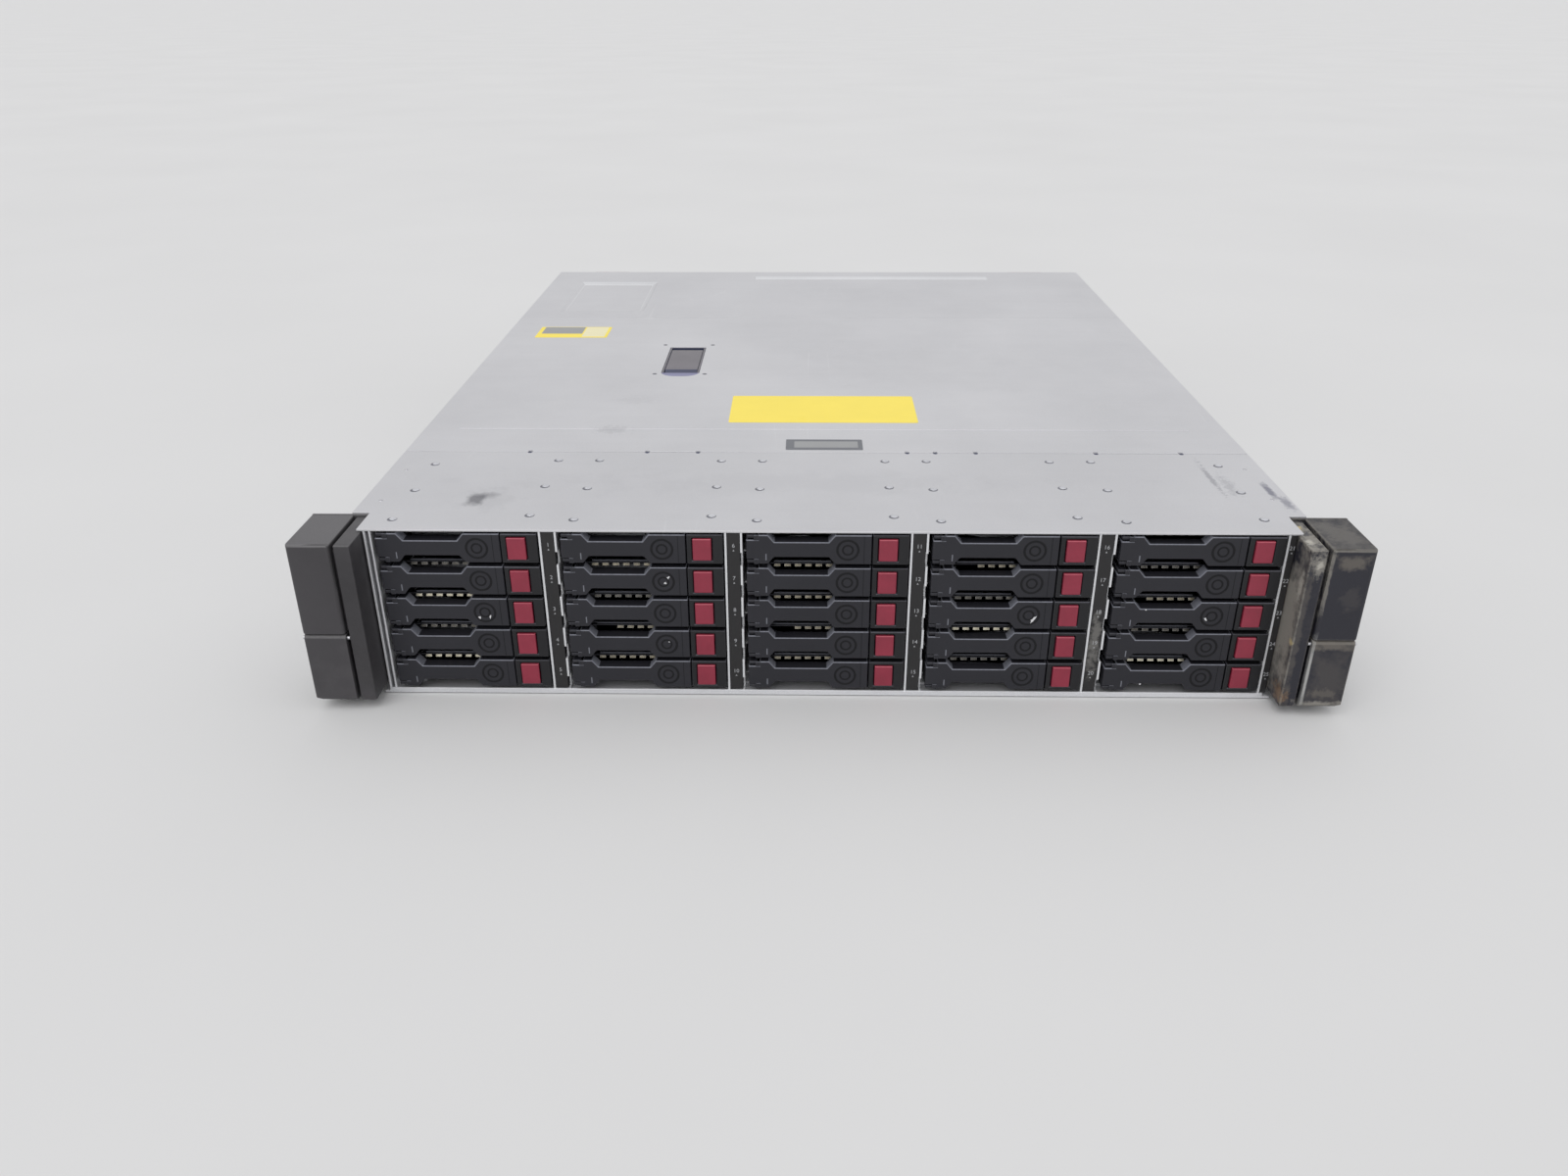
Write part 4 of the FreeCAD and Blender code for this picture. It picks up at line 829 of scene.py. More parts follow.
def buildHeads():
    # domed heads with a small pin in the middle, standing along Z and leaned about X by Tilt
    inputs = {"Radius": 0.0019, "Height": 0.0008, "Pin": 0.36, "Segments": 16, "Tilt": 0.0}
    tree, given = newTree("domedHeads", inputs)
    wires = {"Segments": given["Segments"], "Rings": 8, "Radius": given["Radius"]}
    ball = add(tree, "GeometryNodeMeshUVSphere", wires).outputs["Mesh"]
    flat = calc(tree, "DIVIDE", given["Height"], given["Radius"])
    dome = moved(tree, ball, scale=triple(tree, 1.0, 1.0, flat))
    pin = rod(tree, calc(tree, "MULTIPLY", given["Radius"], given["Pin"]), given["Height"], 10)
    stem = raised(tree, pin, given["Height"], 0.58)
    endTree(tree, given, moved(tree, joined(tree, dome, stem), turn=triple(tree, given["Tilt"])))


def buildTabs():
    # a row of bowed spring tabs along X, leaning back
    inputs = {"Count": 6, "Pitch": 0.00485, "Width": 0.0029, "Height": 0.00115, "Bow": 0.00015,
              "Sheet": 0.00012, "Lean": 1.05}
    tree, given = newTree("springTabs", inputs)
    wires = {"Size X": given["Width"], "Size Y": given["Height"], "Vertices X": 5, "Vertices Y": 2}
    sheet = add(tree, "GeometryNodeMeshGrid", wires).outputs["Mesh"]
    across = apart(tree, add(tree, "GeometryNodeInputPosition").outputs[0])["X"]
    half = calc(tree, "DIVIDE", calc(tree, "MULTIPLY", across, 2.0), given["Width"])
    rise = calc(tree, "SUBTRACT", 1.0, calc(tree, "MULTIPLY", half, half))
    wires = {"Geometry": sheet, "Offset": triple(tree, z=calc(tree, "MULTIPLY", rise, given["Bow"]))}
    bowed = add(tree, "GeometryNodeSetPosition", wires).outputs[0]
    leaned = moved(tree, thickened(tree, bowed, given["Sheet"]), turn=triple(tree, given["Lean"]))
    endTree(tree, given, rowOf(tree, leaned, given["Count"], given["Pitch"], "x"))


def buildRibs():
    # a stack of half-sunk round ribs that lie along X
    tree, given = newTree("gripRibs", {"Count": 6, "Pitch": 0.003, "Length": 0.0112, "Radius": 0.0006})
    laid = moved(tree, rod(tree, given["Radius"], given["Length"], 10), turn=(0.0, math.radians(90), 0.0))
    endTree(tree, given, rowOf(tree, laid, given["Count"], given["Pitch"], "z"))


def buildHexPlate():
    # a honeycomb cell that faces the rear, a hair smaller than its room so that no walls coincide
    tree, given = newTree("hexPlate", {"Cell": 0.0016, "Web": 0.0004, "Depth": 0.0008, "Room": 0.994})
    outer = circle(tree, calc(tree, "MULTIPLY", given["Cell"], given["Room"]), 6)
    inner = circle(tree, calc(tree, "SUBTRACT", given["Cell"], given["Web"]), 6)
    filled = add(tree, "GeometryNodeFillCurve", {"Curve": joined(tree, outer, inner)}).outputs[0]
    plate = thickened(tree, filled, given["Depth"])
    endTree(tree, given, moved(tree, plate, turn=(math.radians(-90), math.radians(30), 0.0)))


def buildGuard():
    # wire rings in the plane of the rear
    tree, given = newTree("guardRings", {"Rings": 5, "First": 0.009, "Step": 0.0062, "Wire": 0.0007})
    wires = {"Count": given["Rings"], "Offset": (0.0, 0.0, 0.0)}
    row = add(tree, "GeometryNodeMeshLine", wires).outputs["Mesh"]
    index = add(tree, "GeometryNodeInputIndex").outputs[0]
    radius = calc(tree, "ADD", given["First"], calc(tree, "MULTIPLY", index, given["Step"]))
    hoops = planted(tree, row, circle(tree, 1.0, 48), triple(tree, radius, radius, radius))
    loose = add(tree, "GeometryNodeRealizeInstances", {"Geometry": hoops}).outputs[0]
    wires = {"Curve": loose, "Profile Curve": circle(tree, given["Wire"], 8)}
    drawn = add(tree, "GeometryNodeCurveToMesh", wires).outputs[0]
    endTree(tree, given, moved(tree, drawn, turn=(math.radians(90), 0.0, 0.0)))


def cube(tree, *sides):
    return add(tree, "GeometryNodeMeshCube", {"Size": triple(tree, *sides)}).outputs["Mesh"]


def mixedSizes(tree, seed):
    wires = {0: (0.45, 0.4, 0.8), 1: (1.5, 1.2, 1.3), "Seed": seed}
    return add(tree, "FunctionNodeRandomValue", wires, data_type="FLOAT_VECTOR").outputs[0]


def buildChips():
    # chip bodies of mixed sizes, each with a smaller lid, standing on the board
    tree, given = newTree("boardChips", {"Seed": 4, "Width": 0.008, "Rise": 0.0016})
    body = cube(tree, given["Width"], given["Width"], given["Rise"])
    lidFoot = triple(tree, z=calc(tree, "MULTIPLY", given["Rise"], 0.55))
    lid = moved(tree, body, lidFoot, (0.9, 0.9, 0.3))
    chip = raised(tree, joined(tree, body, lid), given["Rise"], 0.6)
    endTree(tree, given, chip, mixedSizes(tree, given["Seed"]))


def buildLegs():
    # the legs under the chips: bars across each chip, in the same mixed sizes
    inputs = {"Seed": 4, "Width": 0.008, "Legs": 6, "Bar": 0.0004, "Reach": 1.25, "Row": 0.8}
    tree, given = newTree("chipLegs", inputs)
    long = calc(tree, "MULTIPLY", given["Width"], given["Reach"])
    bar = raised(tree, cube(tree, long, given["Bar"], given["Bar"]), given["Bar"], 0.5)
    row = calc(tree, "MULTIPLY", given["Width"], given["Row"])
    pitch = calc(tree, "DIVIDE", row, calc(tree, "SUBTRACT", given["Legs"], 1.0))
    endTree(tree, given, rowOf(tree, bar, given["Legs"], pitch, "y"), mixedSizes(tree, given["Seed"]))


def buildCans():
    # round capacitors on a wider foot
    tree, given = newTree("roundCans", {"Radius": 0.002, "Height": 0.005, "Foot": 0.0006, "Wider": 1.15})
    can = raised(tree, rod(tree, given["Radius"], given["Height"], 14), given["Height"], 0.5)
    wide = calc(tree, "MULTIPLY", given["Radius"], given["Wider"])
    foot = raised(tree, rod(tree, wide, given["Foot"], 14), given["Foot"], 0.5)
    endTree(tree, given, joined(tree, can, foot))


def grow(kind, name, places, finish, body, slot, smooth=40, **values):
    mesh = bpy.data.meshes.new(name)
    mesh.from_pydata(places, [], [])
    piece = newObject(name, mesh)
    modifier = piece.modifiers.new("grow", "NODES")
    modifier.node_group = trees[kind]
    keys = {item.name: item.identifier for item in trees[kind].interface.items_tree if item.in_out == "INPUT"}
    for label, value in dict(values, Finish=finishes[finish]).items():
        modifier[keys[label]] = value
    seen = piece.evaluated_get(bpy.context.evaluated_depsgraph_get())
    grown = bpy.data.meshes.new_from_object(seen)
    piece.modifiers.remove(modifier)
    piece.data = grown
    grown.name = name
    bpy.data.meshes.remove(mesh)
    smoothed(grown, smooth)
    settle(piece, body)


def plantHeads(name, places, size, finish, body, slot, **values):
    radius, height = size
    grow("domedHeads", name, places, finish, body, slot, Radius=radius * mm, Height=height * mm, **values)


for build in (buildHeads, buildTabs, buildRibs, buildHexPlate, buildGuard, buildChips, buildLegs, buildCans):
    build()
print("trees built")


# front cover: rivets over the cage flanges, each with a painted shadow ring at its front, small bright screws
# by the side edges, dark discs in the punched holes by the seam as painted shade

rivets = {
    # the dark ring under each head, shifted to its front, is a painted shadow
    "top": 87.0, "head": (1.75, 0.45), "pin": 0.1, "grime": (2.4, 0.07), "shadowShift": (-0.3, -0.55),
    "dividers": (-127.5, -42.5, 42.5, 127.5),
    "flanges": ((-10.75, (-2.2, 34.0, 70.1)), (10.65, (-7.0, 31.5, 70.3))),
    "ends": ((-201.2, (-7.4, 28.3, 64.0)), (202.2, (-3.8, 29.3, 65.2))),
    "dots": ((-214.0, 14.6), (-214.0, 55.1), (214.0, 20.0), (214.0, 60.0)), "dotHead": (1.1, 0.3),
    "punches": (-156.0, -93.7, -66.7, 44.0, 58.8, 80.1, 143.3, 188.0), "punchY": 81.7,
    "punchHead": (1.2, 0.1),
}


def makeCoverFasteners():
    top = rivets["top"]
    places = []
    for divider in rivets["dividers"]:
        for shift, rows in rivets["flanges"]:
            places += [point(divider + shift, y, top) for y in rows]
    for x, rows in rivets["ends"]:
        places += [point(x, y, top) for y in rows]
    plantHeads("coverRivets", places, rivets["head"], "rivetSteel", "chassis", "bright_steel",
               Pin=rivets["pin"])
    shift = point(*rivets["shadowShift"], 0)  # painted shadow: the dark ring under each head is shifted to its front
    rings = [place + shift for place in places]
    plantHeads("rivetShadowRings", rings, rivets["grime"], "rivetShade", "chassis", "zinc_sheet")
    dots = [point(x, y, top) for x, y in rivets["dots"]]
    plantHeads("coverDots", dots, rivets["dotHead"], "brightSteel", "chassis", "bright_steel", Segments=12)
    # dark discs in the punched holes: painted shade
    punches = [point(x, rivets["punchY"], top) for x in rivets["punches"]]
    plantHeads("seamPunchShade", punches, rivets["punchHead"], "punchShade", "chassis", "zinc_sheet", Segments=12)
    print("rivets:", len(places))


makeCoverFasteners()


# carriers: spring tabs behind the notches in lit, half-lit and shaded tones of one steel as painted light, a
# light grey ridge on each cross wall as a painted highlight, rings and ticks on the levers, plates on the
# disks

trim = {
    "lastTab": (38.2, 7.35, 12.7), "tabPitch": 4.85, "tabs": 6, "fewerTabs": {9: 4, 14: 4, 17: 4, 23: 5},
    # carriers whose tabs take the lit and the half-lit tones, a painted light
    "litTabs": (3, 5, 19, 25), "halfLitTabs": (7, 9, 10, 12, 13, 14, 15, 17, 23),
    "ridge": ((12.4, 8.6, 13.4), (39.0, 9.3, 14.4)),
    "rings": ((46.4, 7.3, 4.8, 0.55), (46.4, 7.3, 2.3, 0.45)), "ringFlat": 0.3,
    "tick": ((8.8, -0.04, 2.0), (9.3, 0.1, 5.2)), "groove": ((53.7, -0.03, 0.5), (53.98, 0.1, 14.1)),
    "lipAcross": (3.5, 5.7), "lipDepth": (0.5, 0.02), "lipUp": ((0.06, 2.6), (12.0, 14.54)),
    "diskPlate": (8.0, 66.4, 52.0, 132.0, 2.0), "diskTop": 13.5, "plateThick": 0.12,
    "diskScrews": ((5.2, 46.0), (69.2, 46.0), (5.2, 136.0), (69.2, 136.0)),
    "screwHead": ((0.0, 0.0), (1.5, 0.0), (1.5, 0.1), (1.1, 0.25), (0.55, 0.25), (0.5, 0.06), (0.0, 0.06)),
    "fleckDepth": (0.02, -0.05),
    "flecks": {  # by carrier: across, up, half width, half height, lean
        3: ((43.4, 4.4, 0.9, 0.75, 0.2), (48.7, 5.0, 0.35, 1.0, -0.2)),
        7: ((48.6, 9.2, 0.5, 1.1, -0.5), (47.2, 6.6, 0.6, 0.5, 0.0)),
        9: ((47.6, 8.6, 0.35, 0.35, 0.0),),
        18: ((48.7, 5.3, 0.75, 1.9, -0.6),),
        23: ((43.9, 6.0, 0.7, 0.9, 0.3), (15.5, 10.6, 0.4, 0.3, 0.0)),
        25: ((18.0, 3.5, 0.45, 0.4, 0.0),),
    },
}


def addRing(shape, base, ring, material):
    u, w, radius, wire = ring
    loops = []
    for side in turns(6):
        reach, out = radius + wire * math.cos(side), trim["ringFlat"] * wire * math.sin(side)
        loops.append([base + point(u + reach * math.cos(a), out, w + reach * math.sin(a)) for a in turns(36)])
    addHoop(shape, loops, material)


def addFleck(shape, base, fleck, material):
    u, w, wide, tall, lean = fleck
    loop = []
    for angle in turns(10):
        swell = 1 + 0.28 * math.sin(3 * angle + u) + 0.16 * math.cos(5 * angle + w)
        a, b = wide * swell * math.cos(angle), tall * swell * math.sin(angle)
        loop.append((u + a * math.cos(lean) - b * math.sin(lean),
                     w + a * math.sin(lean) + b * math.cos(lean)))
    addSlab(shape, loop, facing(*trim["fleckDepth"], base), material)


def addBar(shape, base, corners, material):
    low, high = corners
    addBlock(shape, base + point(*low), base + point(*high), material)


def addLeverMarks(shape, base, number):
    for ring in trim["rings"]:
        addRing(shape, base, ring, 0)
    addBar(shape, base, trim["tick"], 1)
    addBar(shape, base, trim["groove"], 0)
    for span in trim["lipUp"]:
        addSlab(shape, roundedLoop(*trim["lipAcross"], *span, 0.3, 2), facing(*trim["lipDepth"], base), 2)
    for fleck in trim["flecks"].get(number, ()):
        addFleck(shape, base, fleck, 3)


def addCarrierParts(shape, base):
    top = trim["diskTop"]
    # a light grey ridge on the cross wall, a painted highlight of its lit top edge
    addBar(shape, base, trim["ridge"], 4)
    addSlab(shape, roundedLoop(*trim["diskPlate"]), lying(top, top + trim["plateThick"], base), 5)
    for u, d in trim["diskScrews"]:
        addTurned(shape, trim["screwHead"], lambda x, y, up: base + point(u + x, d + y, top + up), 14, 6)


def makeCarrierTrim(number):
    base = carrierBase(number)
    drive = f"drive_{number:02d}"
    last, d, w = trim["lastTab"]
    count = trim["fewerTabs"].get(number, trim["tabs"])
    middle = last - trim["tabPitch"] * (count - 1) / 2
    # each carrier's tabs get a lit, half-lit or shaded copy of the spring finish: painted light
    tone = "springShaded"
    if number in trim["litTabs"] + trim["halfLitTabs"]:
        tone = "springPale" if number in trim["litTabs"] else "springMid"
    grow("springTabs", f"springTabs_{number:02d}", [base + point(middle, d, w)], tone, drive, "bright_steel",
         Count=count, Pitch=trim["tabPitch"] * mm)
    palette = ["ringPlastic", "paleTick", "carrierPlastic", "inkWhite"]
    parts = bmesh.new()
    addCarrierParts(parts, base)
    marks = bmesh.new() if isLoose(number) else parts
    addLeverMarks(marks, base, number)
    if marks is not parts:
        pieceFrom(marks, f"leverMarks_{number:02d}", palette, f"lever_{number:02d}")
    palette += ["litEdgeGrey", "plateWhite", "brightSteel"]
    pieceFrom(parts, f"carrierTrim_{number:02d}", palette, drive)


for number in range(1, carrier["count"] + 1):
    makeCarrierTrim(number)
print("carrier trim done")


# left end of the cage: a plain folded edge over the slots of the last wall

endEdge = {"plan": (-209.38, -208.42, -19.14, -15.3, 0.3), "up": (2.7, 85.9)}


def makeEndEdge():
    shape = bmesh.new()
    addSlab(shape, roundedLoop(*endEdge["plan"], 3), lying(*endEdge["up"]))
    pieceFrom(shape, "cageEndEdge", ["cageZinc"], "chassis")


makeEndEdge()


# ears: a rib over each bracket, up to the cover's shoulder

ribs = {"across": (212.9, 241.2),
        "section": ((-1.98, 84.65), (-0.06, 84.65), (-0.06, 86.0), (-0.56, 86.5), (-1.98, 86.5))}


def makeRib(side, hand, material):
    inner, outer = ribs["across"]
    shape = bmesh.new()
    addSlab(shape, ribs["section"], spanning(hand * inner, hand * outer))
    pieceFrom(shape, f"{side}EarRib", [material], "chassis")


makeRib("left", -1, "earPlastic")
makeRib("right", 1, "earWorn")


# number strips: bay numbers with a small pointer under each

numbers = {"size": 2.8, "proud": 0.03, "thick": 0.03, "columnX": (-127.5, -42.5, 42.5, 127.5, 211.1),
           "topRow": 79.2, "rowPitch": 16.6, "pointer": ((-0.45, -2.7), (0.45, -2.7), (0.0, -1.9))}


def numberMesh(text, middle):
    curve = bpy.data.curves.new("digits", "FONT")
    curve.body = text
    curve.size = numbers["size"] * mm
    curve.align_x = "CENTER"
    curve.align_y = "CENTER"
    curve.resolution_u = 3
    curve.extrude = numbers["thick"] * mm
    holder = newObject("digits", curve)
    mesh = bpy.data.meshes.new_from_object(holder.evaluated_get(bpy.context.evaluated_depsgraph_get()))
    bpy.data.objects.remove(holder)
    bpy.data.curves.remove(curve)
    mesh.transform(Matrix.Translation(middle) @ Matrix.Rotation(math.radians(90), 4, "X"))
    return mesh


def makeNumbers():
    shape = bmesh.new()
    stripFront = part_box("number_strips")[0].y - numbers["proud"] * mm
    for index in range(carrier["count"]):
        column, row = divmod(index, carrier["rows"])
        height = numbers["topRow"] - numbers["rowPitch"] * row
        middle = Vector((numbers["columnX"][column] * mm, stripFront, height * mm))
        mesh = numberMesh(str(index + 1), middle)
        shape.from_mesh(mesh)
        bpy.data.meshes.remove(mesh)
        addSlab(shape, numbers["pointer"], facing(numbers["thick"], -numbers["thick"], middle))
    pieceFrom(shape, "bayNumbers", ["inkDigit"], "chassis")


makeNumbers()
print("numbers done")


# bare plates and spot marks on the access panel, pressed slopes in the rear cover's fields with the far slope
# in a brighter finish as a painted highlight

plates = {
    "thickness": 0.14, "top": 87.0, "inlay": 0.05, "corners": (1.2, 0.6, 0.4, 0.2),
    "wide": (-53.5, 54.0, 130.8, 179.5),
    "strip": (-20.3, 20.9, 86.5, 102.5), "stripField": (-15.8, 18.4, 89.7, 99.3),
    "corner": (-201.5, -150.5, 312.9, 341.5), "cornerField": (-198.5, -169.5, 322.9, 340.5),
    "cornerPale": (-168.5, -152.5, 314.9, 340.3),
    "seamTabs": ((-92.0, -68.4, 82.85, 83.6), (145.0, 186.5, 82.85, 83.6)), "seamDrop": -0.1,
    "spots": ((-106.7, 294.0), (-74.0, 294.0), (-106.3, 225.2), (-74.4, 225.2)), "spotHead": (1.5, 0.15),
    "fields": ((-197.0, -134.0, 390.5, 490.5, 3.5, 11.0), (-53.0, 143.0, 499.5, 511.5, 1.5, 9.0)),
    "fieldUp": (86.61, 86.98), "fieldGap": 0.05, "fieldCorner": 1.0,
}


def makePlates():
    shape = bmesh.new()
    large, medium, small, least = plates["corners"]
    inlay = plates["inlay"]
    laid = [(plates["wide"], 0.0, 0, large),
            (plates["strip"], 0.0, 1, medium), (plates["stripField"], inlay, 2, small),
            (plates["corner"], 0.0, 0, medium), (plates["cornerField"], inlay, 2, small),
            (plates["cornerPale"], inlay, 3, small)]
    laid += [(tab, plates["seamDrop"], 4, least) for tab in plates["seamTabs"]]
    for across, lift, material, radius in laid:
        foot = plates["top"] + lift
        addSlab(shape, roundedLoop(*across, radius), lying(foot, foot + plates["thickness"]), material)
    palette = ["plateYellow", "plateGrey", "plateMid", "platePale", "cageZinc"]
    pieceFrom(shape, "barePlates", palette, "access_panel")
    spots = [point(x, y, plates["top"]) for x, y in plates["spots"]]
    plantHeads("panelSpots", spots, plates["spotHead"], "rivetShade", "access_panel", "bright_steel",
               Segments=12)


def makePressedFields():
    shape = bmesh.new()
    floor, top = plates["fieldUp"]
    gap, corner = plates["fieldGap"], plates["fieldCorner"]
    for left, right, low, high, slope, ramp in plates["fields"]:
        outer = roundedLoop(left + gap, right - gap, low + gap, high - gap, corner)
        inner = roundedLoop(left + slope, right - slope, low + slope, high - ramp, corner)
        rings = ((outer, floor), (outer, top), (inner, floor))
        addHoop(shape, [[point(x, y, z) for x, y in loop] for loop, z in rings])
        # the far slope of each field takes the brighter cageZinc finish, a painted highlight
        for face in shape.faces:
            middle = face.calc_center_median() / mm
            if left < middle.x < right and middle.y > high - ramp + 2 * gap:
                face.material_index = 1
    pieceFrom(shape, "pressedFields", ["zincSheet", "cageZinc"], "chassis", 20)


makePlates()
makePressedFields()
print("plates done")


# panel latch: a face that fills the opening on the paddle, its nose in the darker latch colour as painted
# shade, and a lip at the front of the finger well

latch = {
    "across": (-100.7, -79.9), "noseY": 236.3,
    "section": ((232.4, 81.9), (279.6, 85.4), (283.4, 85.4), (283.4, 86.3), (281.0, 86.6), (236.4, 86.6),
                (232.4, 85.3)),
    "lip": (-102.2, -78.4, 220.5), "lipBack": 227.6, "lipCorner": 6.9, "lipUp": (85.6, 86.95),
}


def makeLatch():
    shape = bmesh.new()
    addSlab(shape, latch["section"], spanning(*latch["across"]))
    # the nose faces take the darker latch colour: painted shade along the paddle's front edge
    for face in shape.faces:
        if face.calc_center_median().y < latch["noseY"] * mm:
            face.material_index = 1
    pieceFrom(shape, "paddleFace", ["paddleGrey", "latchPlastic"], "panel_latch")
    left, right, front = latch["lip"]
    corner, back = latch["lipCorner"], latch["lipBack"]
    loop = [(x, y) for x, y in roundedLoop(left, right, front, front + 4 * corner, corner, 8) if y < back]
    shape = bmesh.new()
    addSlab(shape, [(right, back), (left, back)] + loop, lying(*latch["lipUp"]))
    pieceFrom(shape, "latchLip", ["lipLilac"], "access_panel")


makeLatch()
print("latch done")


# rear modules: port shells, lamps, grilles, inlets, screws and fan guards

rear = {"tilt": math.radians(-90), "cell": 1.7, "cellRows": 14, "plateThick": 0.12}
ioFace = {
    "middles": {"io_module_a": 65.0, "io_module_b": 22.0},
    "ports": (-84.2, -58.0, -31.8), "width": 18.2, "height": 10.0, "gap": 0.1, "wall": 0.8,
    "shell": (-13.5, 0.7), "tongue": (3.0, 0.7, -13.0, -3.0), "pins": 10, "pinFirst": 3.6, "pinPitch": 1.13,
    "pin": ((0.0, -12.0, 0.6), (0.6, -3.6, 0.82)),
    "lamps": ((3, -4.0), (4, 2.0)), "lamp": ((2.0, -0.5, 0.0), (4.0, 0.35, 2.0)),
    "plate": (-84.0, -14.0, -16.5, -9.0, 0.8), "grilles": ((-114.0, -90.0), (-8.0, 24.0)), "grilleUp": 13.0,
    "grilleRim": 1.2, "backing": 0.08, "cellLift": 0.06, "web": 0.4, "cellDepth": 0.4,
    "screwX": (-115.5, 25.8), "screwZ": (-17.0, 17.0), "screw": (2.2, 0.9),
    "ejectors": (-125.6, 35.8), "ejectorReach": 8.9,
}
supplyFace = {
    "middles": {"power_supply_1": 65.0, "power_supply_2": 22.0},
    "inlet": (54.6, 82.1), "height": 20.0, "gap": 0.1, "wall": 1.3, "shell": (-14.0, 0.6),
    "blades": ((-7.0, -2.0), (0.0, 3.0), (7.0, -2.0)), "blade": ((-1.0, -14.5, -2.0), (1.0, -3.0, 2.0)),
    "lamp": ((88.5, -0.5, 6.0), (90.5, 0.35, 8.0)), "plate": (54.8, 90.5, 12.5, 18.0, 0.6),
    "blowerX": 114.6, "blowerReach": 14.1, "cellSunk": -1.6, "web": 0.38, "cellDepth": 0.8,
    "screwX": (51.4, 91.8), "screwZ": (-17.5, -13.0), "screw": (1.8, 0.8),
}
fanFace = {"middles": {"fan_module_1": -180.0, "fan_module_2": 180.0}, "up": 43.0, "screwReach": 36.0,
           "screw": (2.4, 1.0), "guardSunk": -1.0}


def addShell(shape, left, right, middle, face):
    # a frame that lines a well in the rear face
    gap, wall, half = face["gap"], face["wall"], face["height"] / 2
    left, right, low, high = left + gap, right - gap, middle - half + gap, middle + half - gap
    front, back = face["shell"]
    outer = roundedLoop(left, right, low, high, 0.6, 2)
    inner = roundedLoop(left + wall, right - wall, low + wall, high - wall, 0.2, 2)
    rings = ((outer, front), (outer, back), (inner, back), (inner, front))
    addHoop(shape, [[rearPoint(x, y, z) for x, z in loop] for loop, y in rings])


def addRearBlock(shape, x, z, corners, material):
    addBlock(shape, *[rearPoint(x + across, depth, z + up) for across, depth, up in corners], material)


def addRearPlate(shape, plate, middle, thick, material):
    left, right, low, high, radius = plate
    addSlab(shape, roundedLoop(left, right, middle + low, middle + high, radius), onRear(thick), material)


def honeycomb(inside, x, y, z):
    cell, rows = rear["cell"], range(-rear["cellRows"], rear["cellRows"] + 1)
    cells = [((column + 0.5 * (row % 2)) * cell * math.sqrt(3), row * cell * 1.5)
             for row in rows for column in rows]
    return [rearPoint(x + across, y, z + up) for across, up in cells if inside(across, up)]


def plantCells(name, cells, face, body, slot):
    grow("hexPlate", name, cells, "moduleSteel", body, slot, 20, Cell=rear["cell"] * mm, Web=face["web"] * mm,
         Depth=face["cellDepth"] * mm)


def plantScrews(name, places, face):
    plantHeads(f"{name}_screws", places, face["screw"], "brightSteel", name, "bright_steel",
               Tilt=rear["tilt"])


def addPort(shape, left, middle):
    face, right = ioFace, left + ioFace["width"]
    addShell(shape, left, right, middle, face)
    side, rise, back, front = face["tongue"]
    addBlock(shape, rearPoint(left + side, back, middle - rise),
             rearPoint(right - side, front, middle + rise), 1)
    for pin in range(face["pins"]):
        addRearBlock(shape, left + face["pinFirst"] + face["pinPitch"] * pin, middle, face["pin"], 2)
    for lens, z in face["lamps"]:
        addRearBlock(shape, right, middle + z, face["lamp"], lens)


def makeIo(name, middle):
    face = ioFace
    shape = bmesh.new()
    for left in face["ports"]:
        addPort(shape, left, middle)
    addRearPlate(shape, face["plate"], middle, rear["plateThick"], 5)
    cells = []
    reach, rim = face["grilleUp"], face["grilleRim"]
    for left, right in face["grilles"]:
        addRearPlate(shape, (left, right, -reach, reach, 1.0), middle, face["backing"], 1)
        half = (right - left) / 2
        cells += honeycomb(lambda x, z: abs(x) < half - rim and abs(z) < reach - rim, (left + right) / 2,
                           face["cellLift"], middle)
    palette = ["brightSteel", "portBlack", "springPale", "lensGreen", "lensAmber", "plateWhite"]
    pieceFrom(shape, f"{name}_ports", palette, name)
    plantCells(f"{name}_grilles", cells, face, name, "module_steel")
    plantScrews(name, [rearPoint(x, 0, middle + z) for x in face["screwX"] for z in face["screwZ"]], face)
    grips = [rearPoint(x, face["ejectorReach"], middle) for x in face["ejectors"]]
    grow("gripRibs", f"{name}_ribs", grips, "ejectorGrey", name, "module_steel")


def makeSupply(name, middle):
    face = supplyFace
    left, right = face["inlet"]
    shape = bmesh.new()
    addShell(shape, left, right, middle, face)
    for x, z in face["blades"]:
        addRearBlock(shape, (left + right) / 2 + x, middle + z, face["blade"], 1)
    addRearBlock(shape, 0.0, middle, face["lamp"], 2)
    addRearPlate(shape, face["plate"], middle, rear["plateThick"], 3)
    palette = ["portBlack", "brightSteel", "lensGreen", "plateWhite"]
    pieceFrom(shape, f"{name}_inlet", palette, name)
    cells = honeycomb(lambda x, z: math.hypot(x, z) < face["blowerReach"], face["blowerX"], face["cellSunk"],
                      middle)
    plantCells(f"{name}_grille", cells, face, name, "supply_case")
    plantScrews(name, [rearPoint(x, 0, middle + z) for x in face["screwX"] for z in face["screwZ"]], face)


def makeFan(name, x):
    z, reach = fanFace["up"], fanFace["screwReach"]
    hub = [rearPoint(x, fanFace["guardSunk"], z)]
    grow("guardRings", f"{name}_guard", hub, "brightSteel", name, "fan_plastic", 60)
    plantScrews(name, [rearPoint(x + a * reach, 0, z + b * reach) for a in (-1, 1) for b in (-1, 1)], fanFace)


for face, make in ((ioFace, makeIo), (supplyFace, makeSupply), (fanFace, makeFan)):
    for name, middle in face["middles"].items():
        make(name, middle)
print("rear done")


# boards: parts on the bridge between the backplanes, and a board with heat sinks in each I/O module

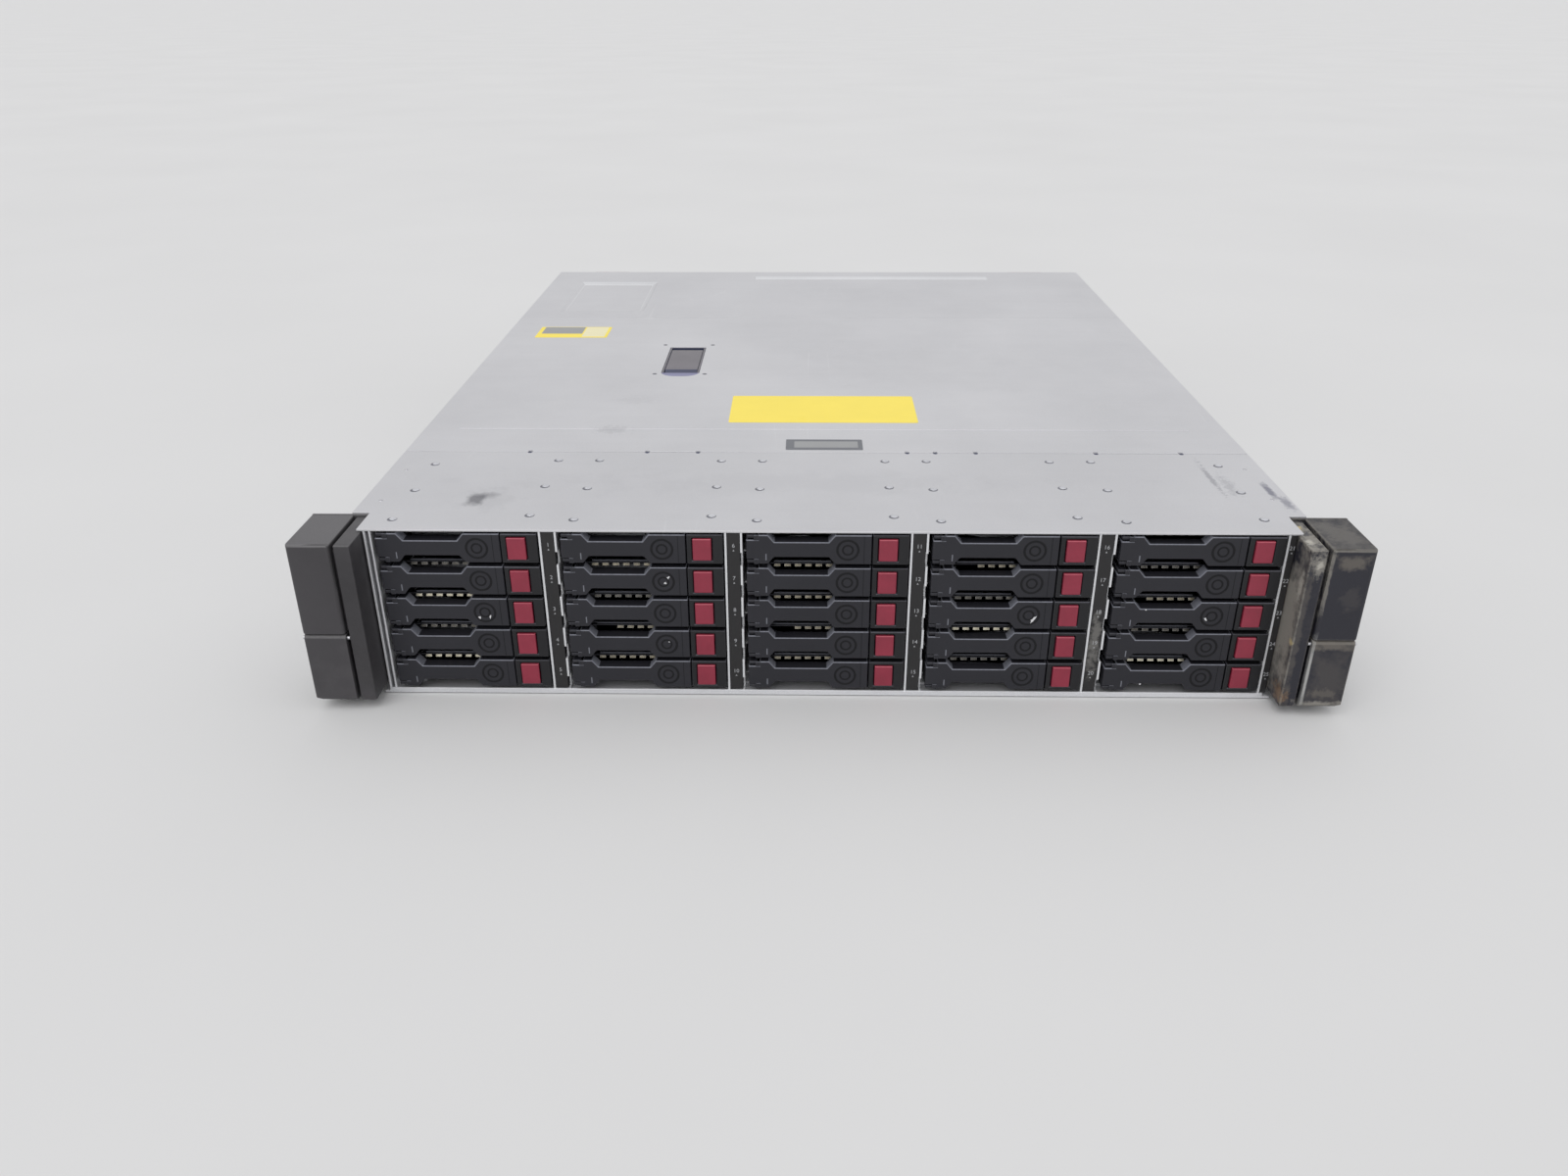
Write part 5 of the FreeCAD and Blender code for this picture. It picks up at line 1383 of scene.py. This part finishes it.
boards = {
    "bridge": {"across": (-144.0, 144.0), "along": (138.0, 336.0), "chips": 46, "cans": 40, "seed": 11},
    "bridgeTop": 44.4, "apart": 13, "sinkRoom": 9,
    "io": {"across": (-130.0, 40.0), "along": (352.0, 508.0), "chips": 26, "cans": 26, "seed": 23},
    "ioFloor": {"io_module_a": 45.4, "io_module_b": 2.4}, "standoff": 4.0, "thick": 1.6, "margin": 4,
    "corner": 2.0, "post": 2.5, "screw": ((3.2, 0.0), (3.0, 1.2), (0.0, 1.4)),
    "sinks": ((-96.0, 400.0, 42.0), (-10.0, 440.0, 34.0)), "sinkBase": 3.0, "finRise": 14.0, "finPitch": 3.0,
    "finThick": 0.8, "finInset": 0.2, "finSunk": 0.1,
}


def scatter(patch, count, dice, keepOut):
    places = []
    room = boards["sinkRoom"]
    while len(places) < count:
        x, y = dice.uniform(*patch["across"]), dice.uniform(*patch["along"])
        clear = all(abs(x - a) > half + room or abs(y - b) > half + room for a, b, half in keepOut)
        if clear and all(math.hypot(x - a, y - b) > boards["apart"] for a, b in places):
            places.append((x, y))
    return places


def plantBoard(name, patch, top, body, keepOut=()):
    spots = scatter(patch, patch["chips"] + patch["cans"], random.Random(patch["seed"]), keepOut)
    places = [point(x, y, top) for x, y in spots]
    chips, cans = places[:patch["chips"]], places[patch["chips"]:]
    grow("boardChips", f"{name}Chips", chips, "chipBlack", body, "board_green")
    grow("chipLegs", f"{name}Legs", chips, "springMid", body, "board_green")
    grow("roundCans", f"{name}Cans", cans, "diskCase", body, "board_green", 50)


def addHeatSink(shape, x, y, wide, foot, material):
    half, inset, thick = wide / 2, boards["finInset"], boards["finThick"]
    shoulder = foot + boards["sinkBase"]
    addBlock(shape, point(x - half, y - half, foot), point(x + half, y + half, shoulder), material)
    count = int(wide / boards["finPitch"])
    for fin in range(count + 1):
        left = x - half + inset + fin * (wide - 2 * inset - thick) / count
        addBlock(shape, point(left, y - half + inset, shoulder - boards["finSunk"]),
                 point(left + thick, y + half - inset, foot + boards["finRise"]), material)


def makeIoBoard(body):
    base = boards["ioFloor"][body]
    under = base + boards["standoff"]
    top = under + boards["thick"]
    shape = bmesh.new()
    (x0, x1), (y0, y1), margin = boards["io"]["across"], boards["io"]["along"], boards["margin"]
    plan = roundedLoop(x0 - margin, x1 + margin, y0 - margin, y1 + margin, boards["corner"])
    addSlab(shape, plan, lying(under, top))
    post = [(0.0, 0.0), (boards["post"], 0.0), (boards["post"], top - base)]
    post += [(radius, top - base + rise) for radius, rise in boards["screw"]]
    for x in (x0, x1):
        for y in (y0, y1):
            addTurned(shape, post, lambda a, b, up: point(x + a, y + b, base + up), 16, 1)
    for x, y, wide in boards["sinks"]:
        addHeatSink(shape, x, y, wide, top, 2)
    pieceFrom(shape, f"{body}_board", ["boardGreen", "brightSteel", "supplyCase"], body)
    plantBoard(f"{body}_", boards["io"], top, body, [(x, y, wide / 2) for x, y, wide in boards["sinks"]])


plantBoard("bridge", boards["bridge"], boards["bridgeTop"], "chassis")
for body in boards["ioFloor"]:
    makeIoBoard(body)
print("boards done")


# side walls: rail studs, and sunk screws along the covers' edges

sides = {
    "x": 223.0, "studY": (60.0, 210.0, 360.0, 480.0), "studZ": 43.0,
    "screwY": (30.0, 110.0, 250.0, 390.0, 510.0), "screwZ": 80.0,
    "stud": ((0.0, -0.4), (4.2, -0.4), (4.2, 0.5), (3.9, 0.8), (2.4, 0.8), (2.4, 2.4), (4.0, 2.6), (4.0, 3.2),
             (3.6, 3.5), (0.0, 3.5)),
    "screw": ((0.0, -0.3), (2.6, -0.3), (2.6, 0.3), (2.2, 0.6), (0.9, 0.7), (0.8, 0.2), (0.0, 0.2)),
}


def makeSides():
    shape = bmesh.new()
    for hand in (-1, 1):
        for kind in ("stud", "screw"):
            z = sides[f"{kind}Z"]
            for y in sides[f"{kind}Y"]:
                addTurned(shape, sides[kind],
                          lambda a, b, out: point(hand * (sides["x"] + out), y + a, z + b), 20)
    pieceFrom(shape, "sideStuds", ["brightSteel"], "chassis")


makeSides()
print("sides done")
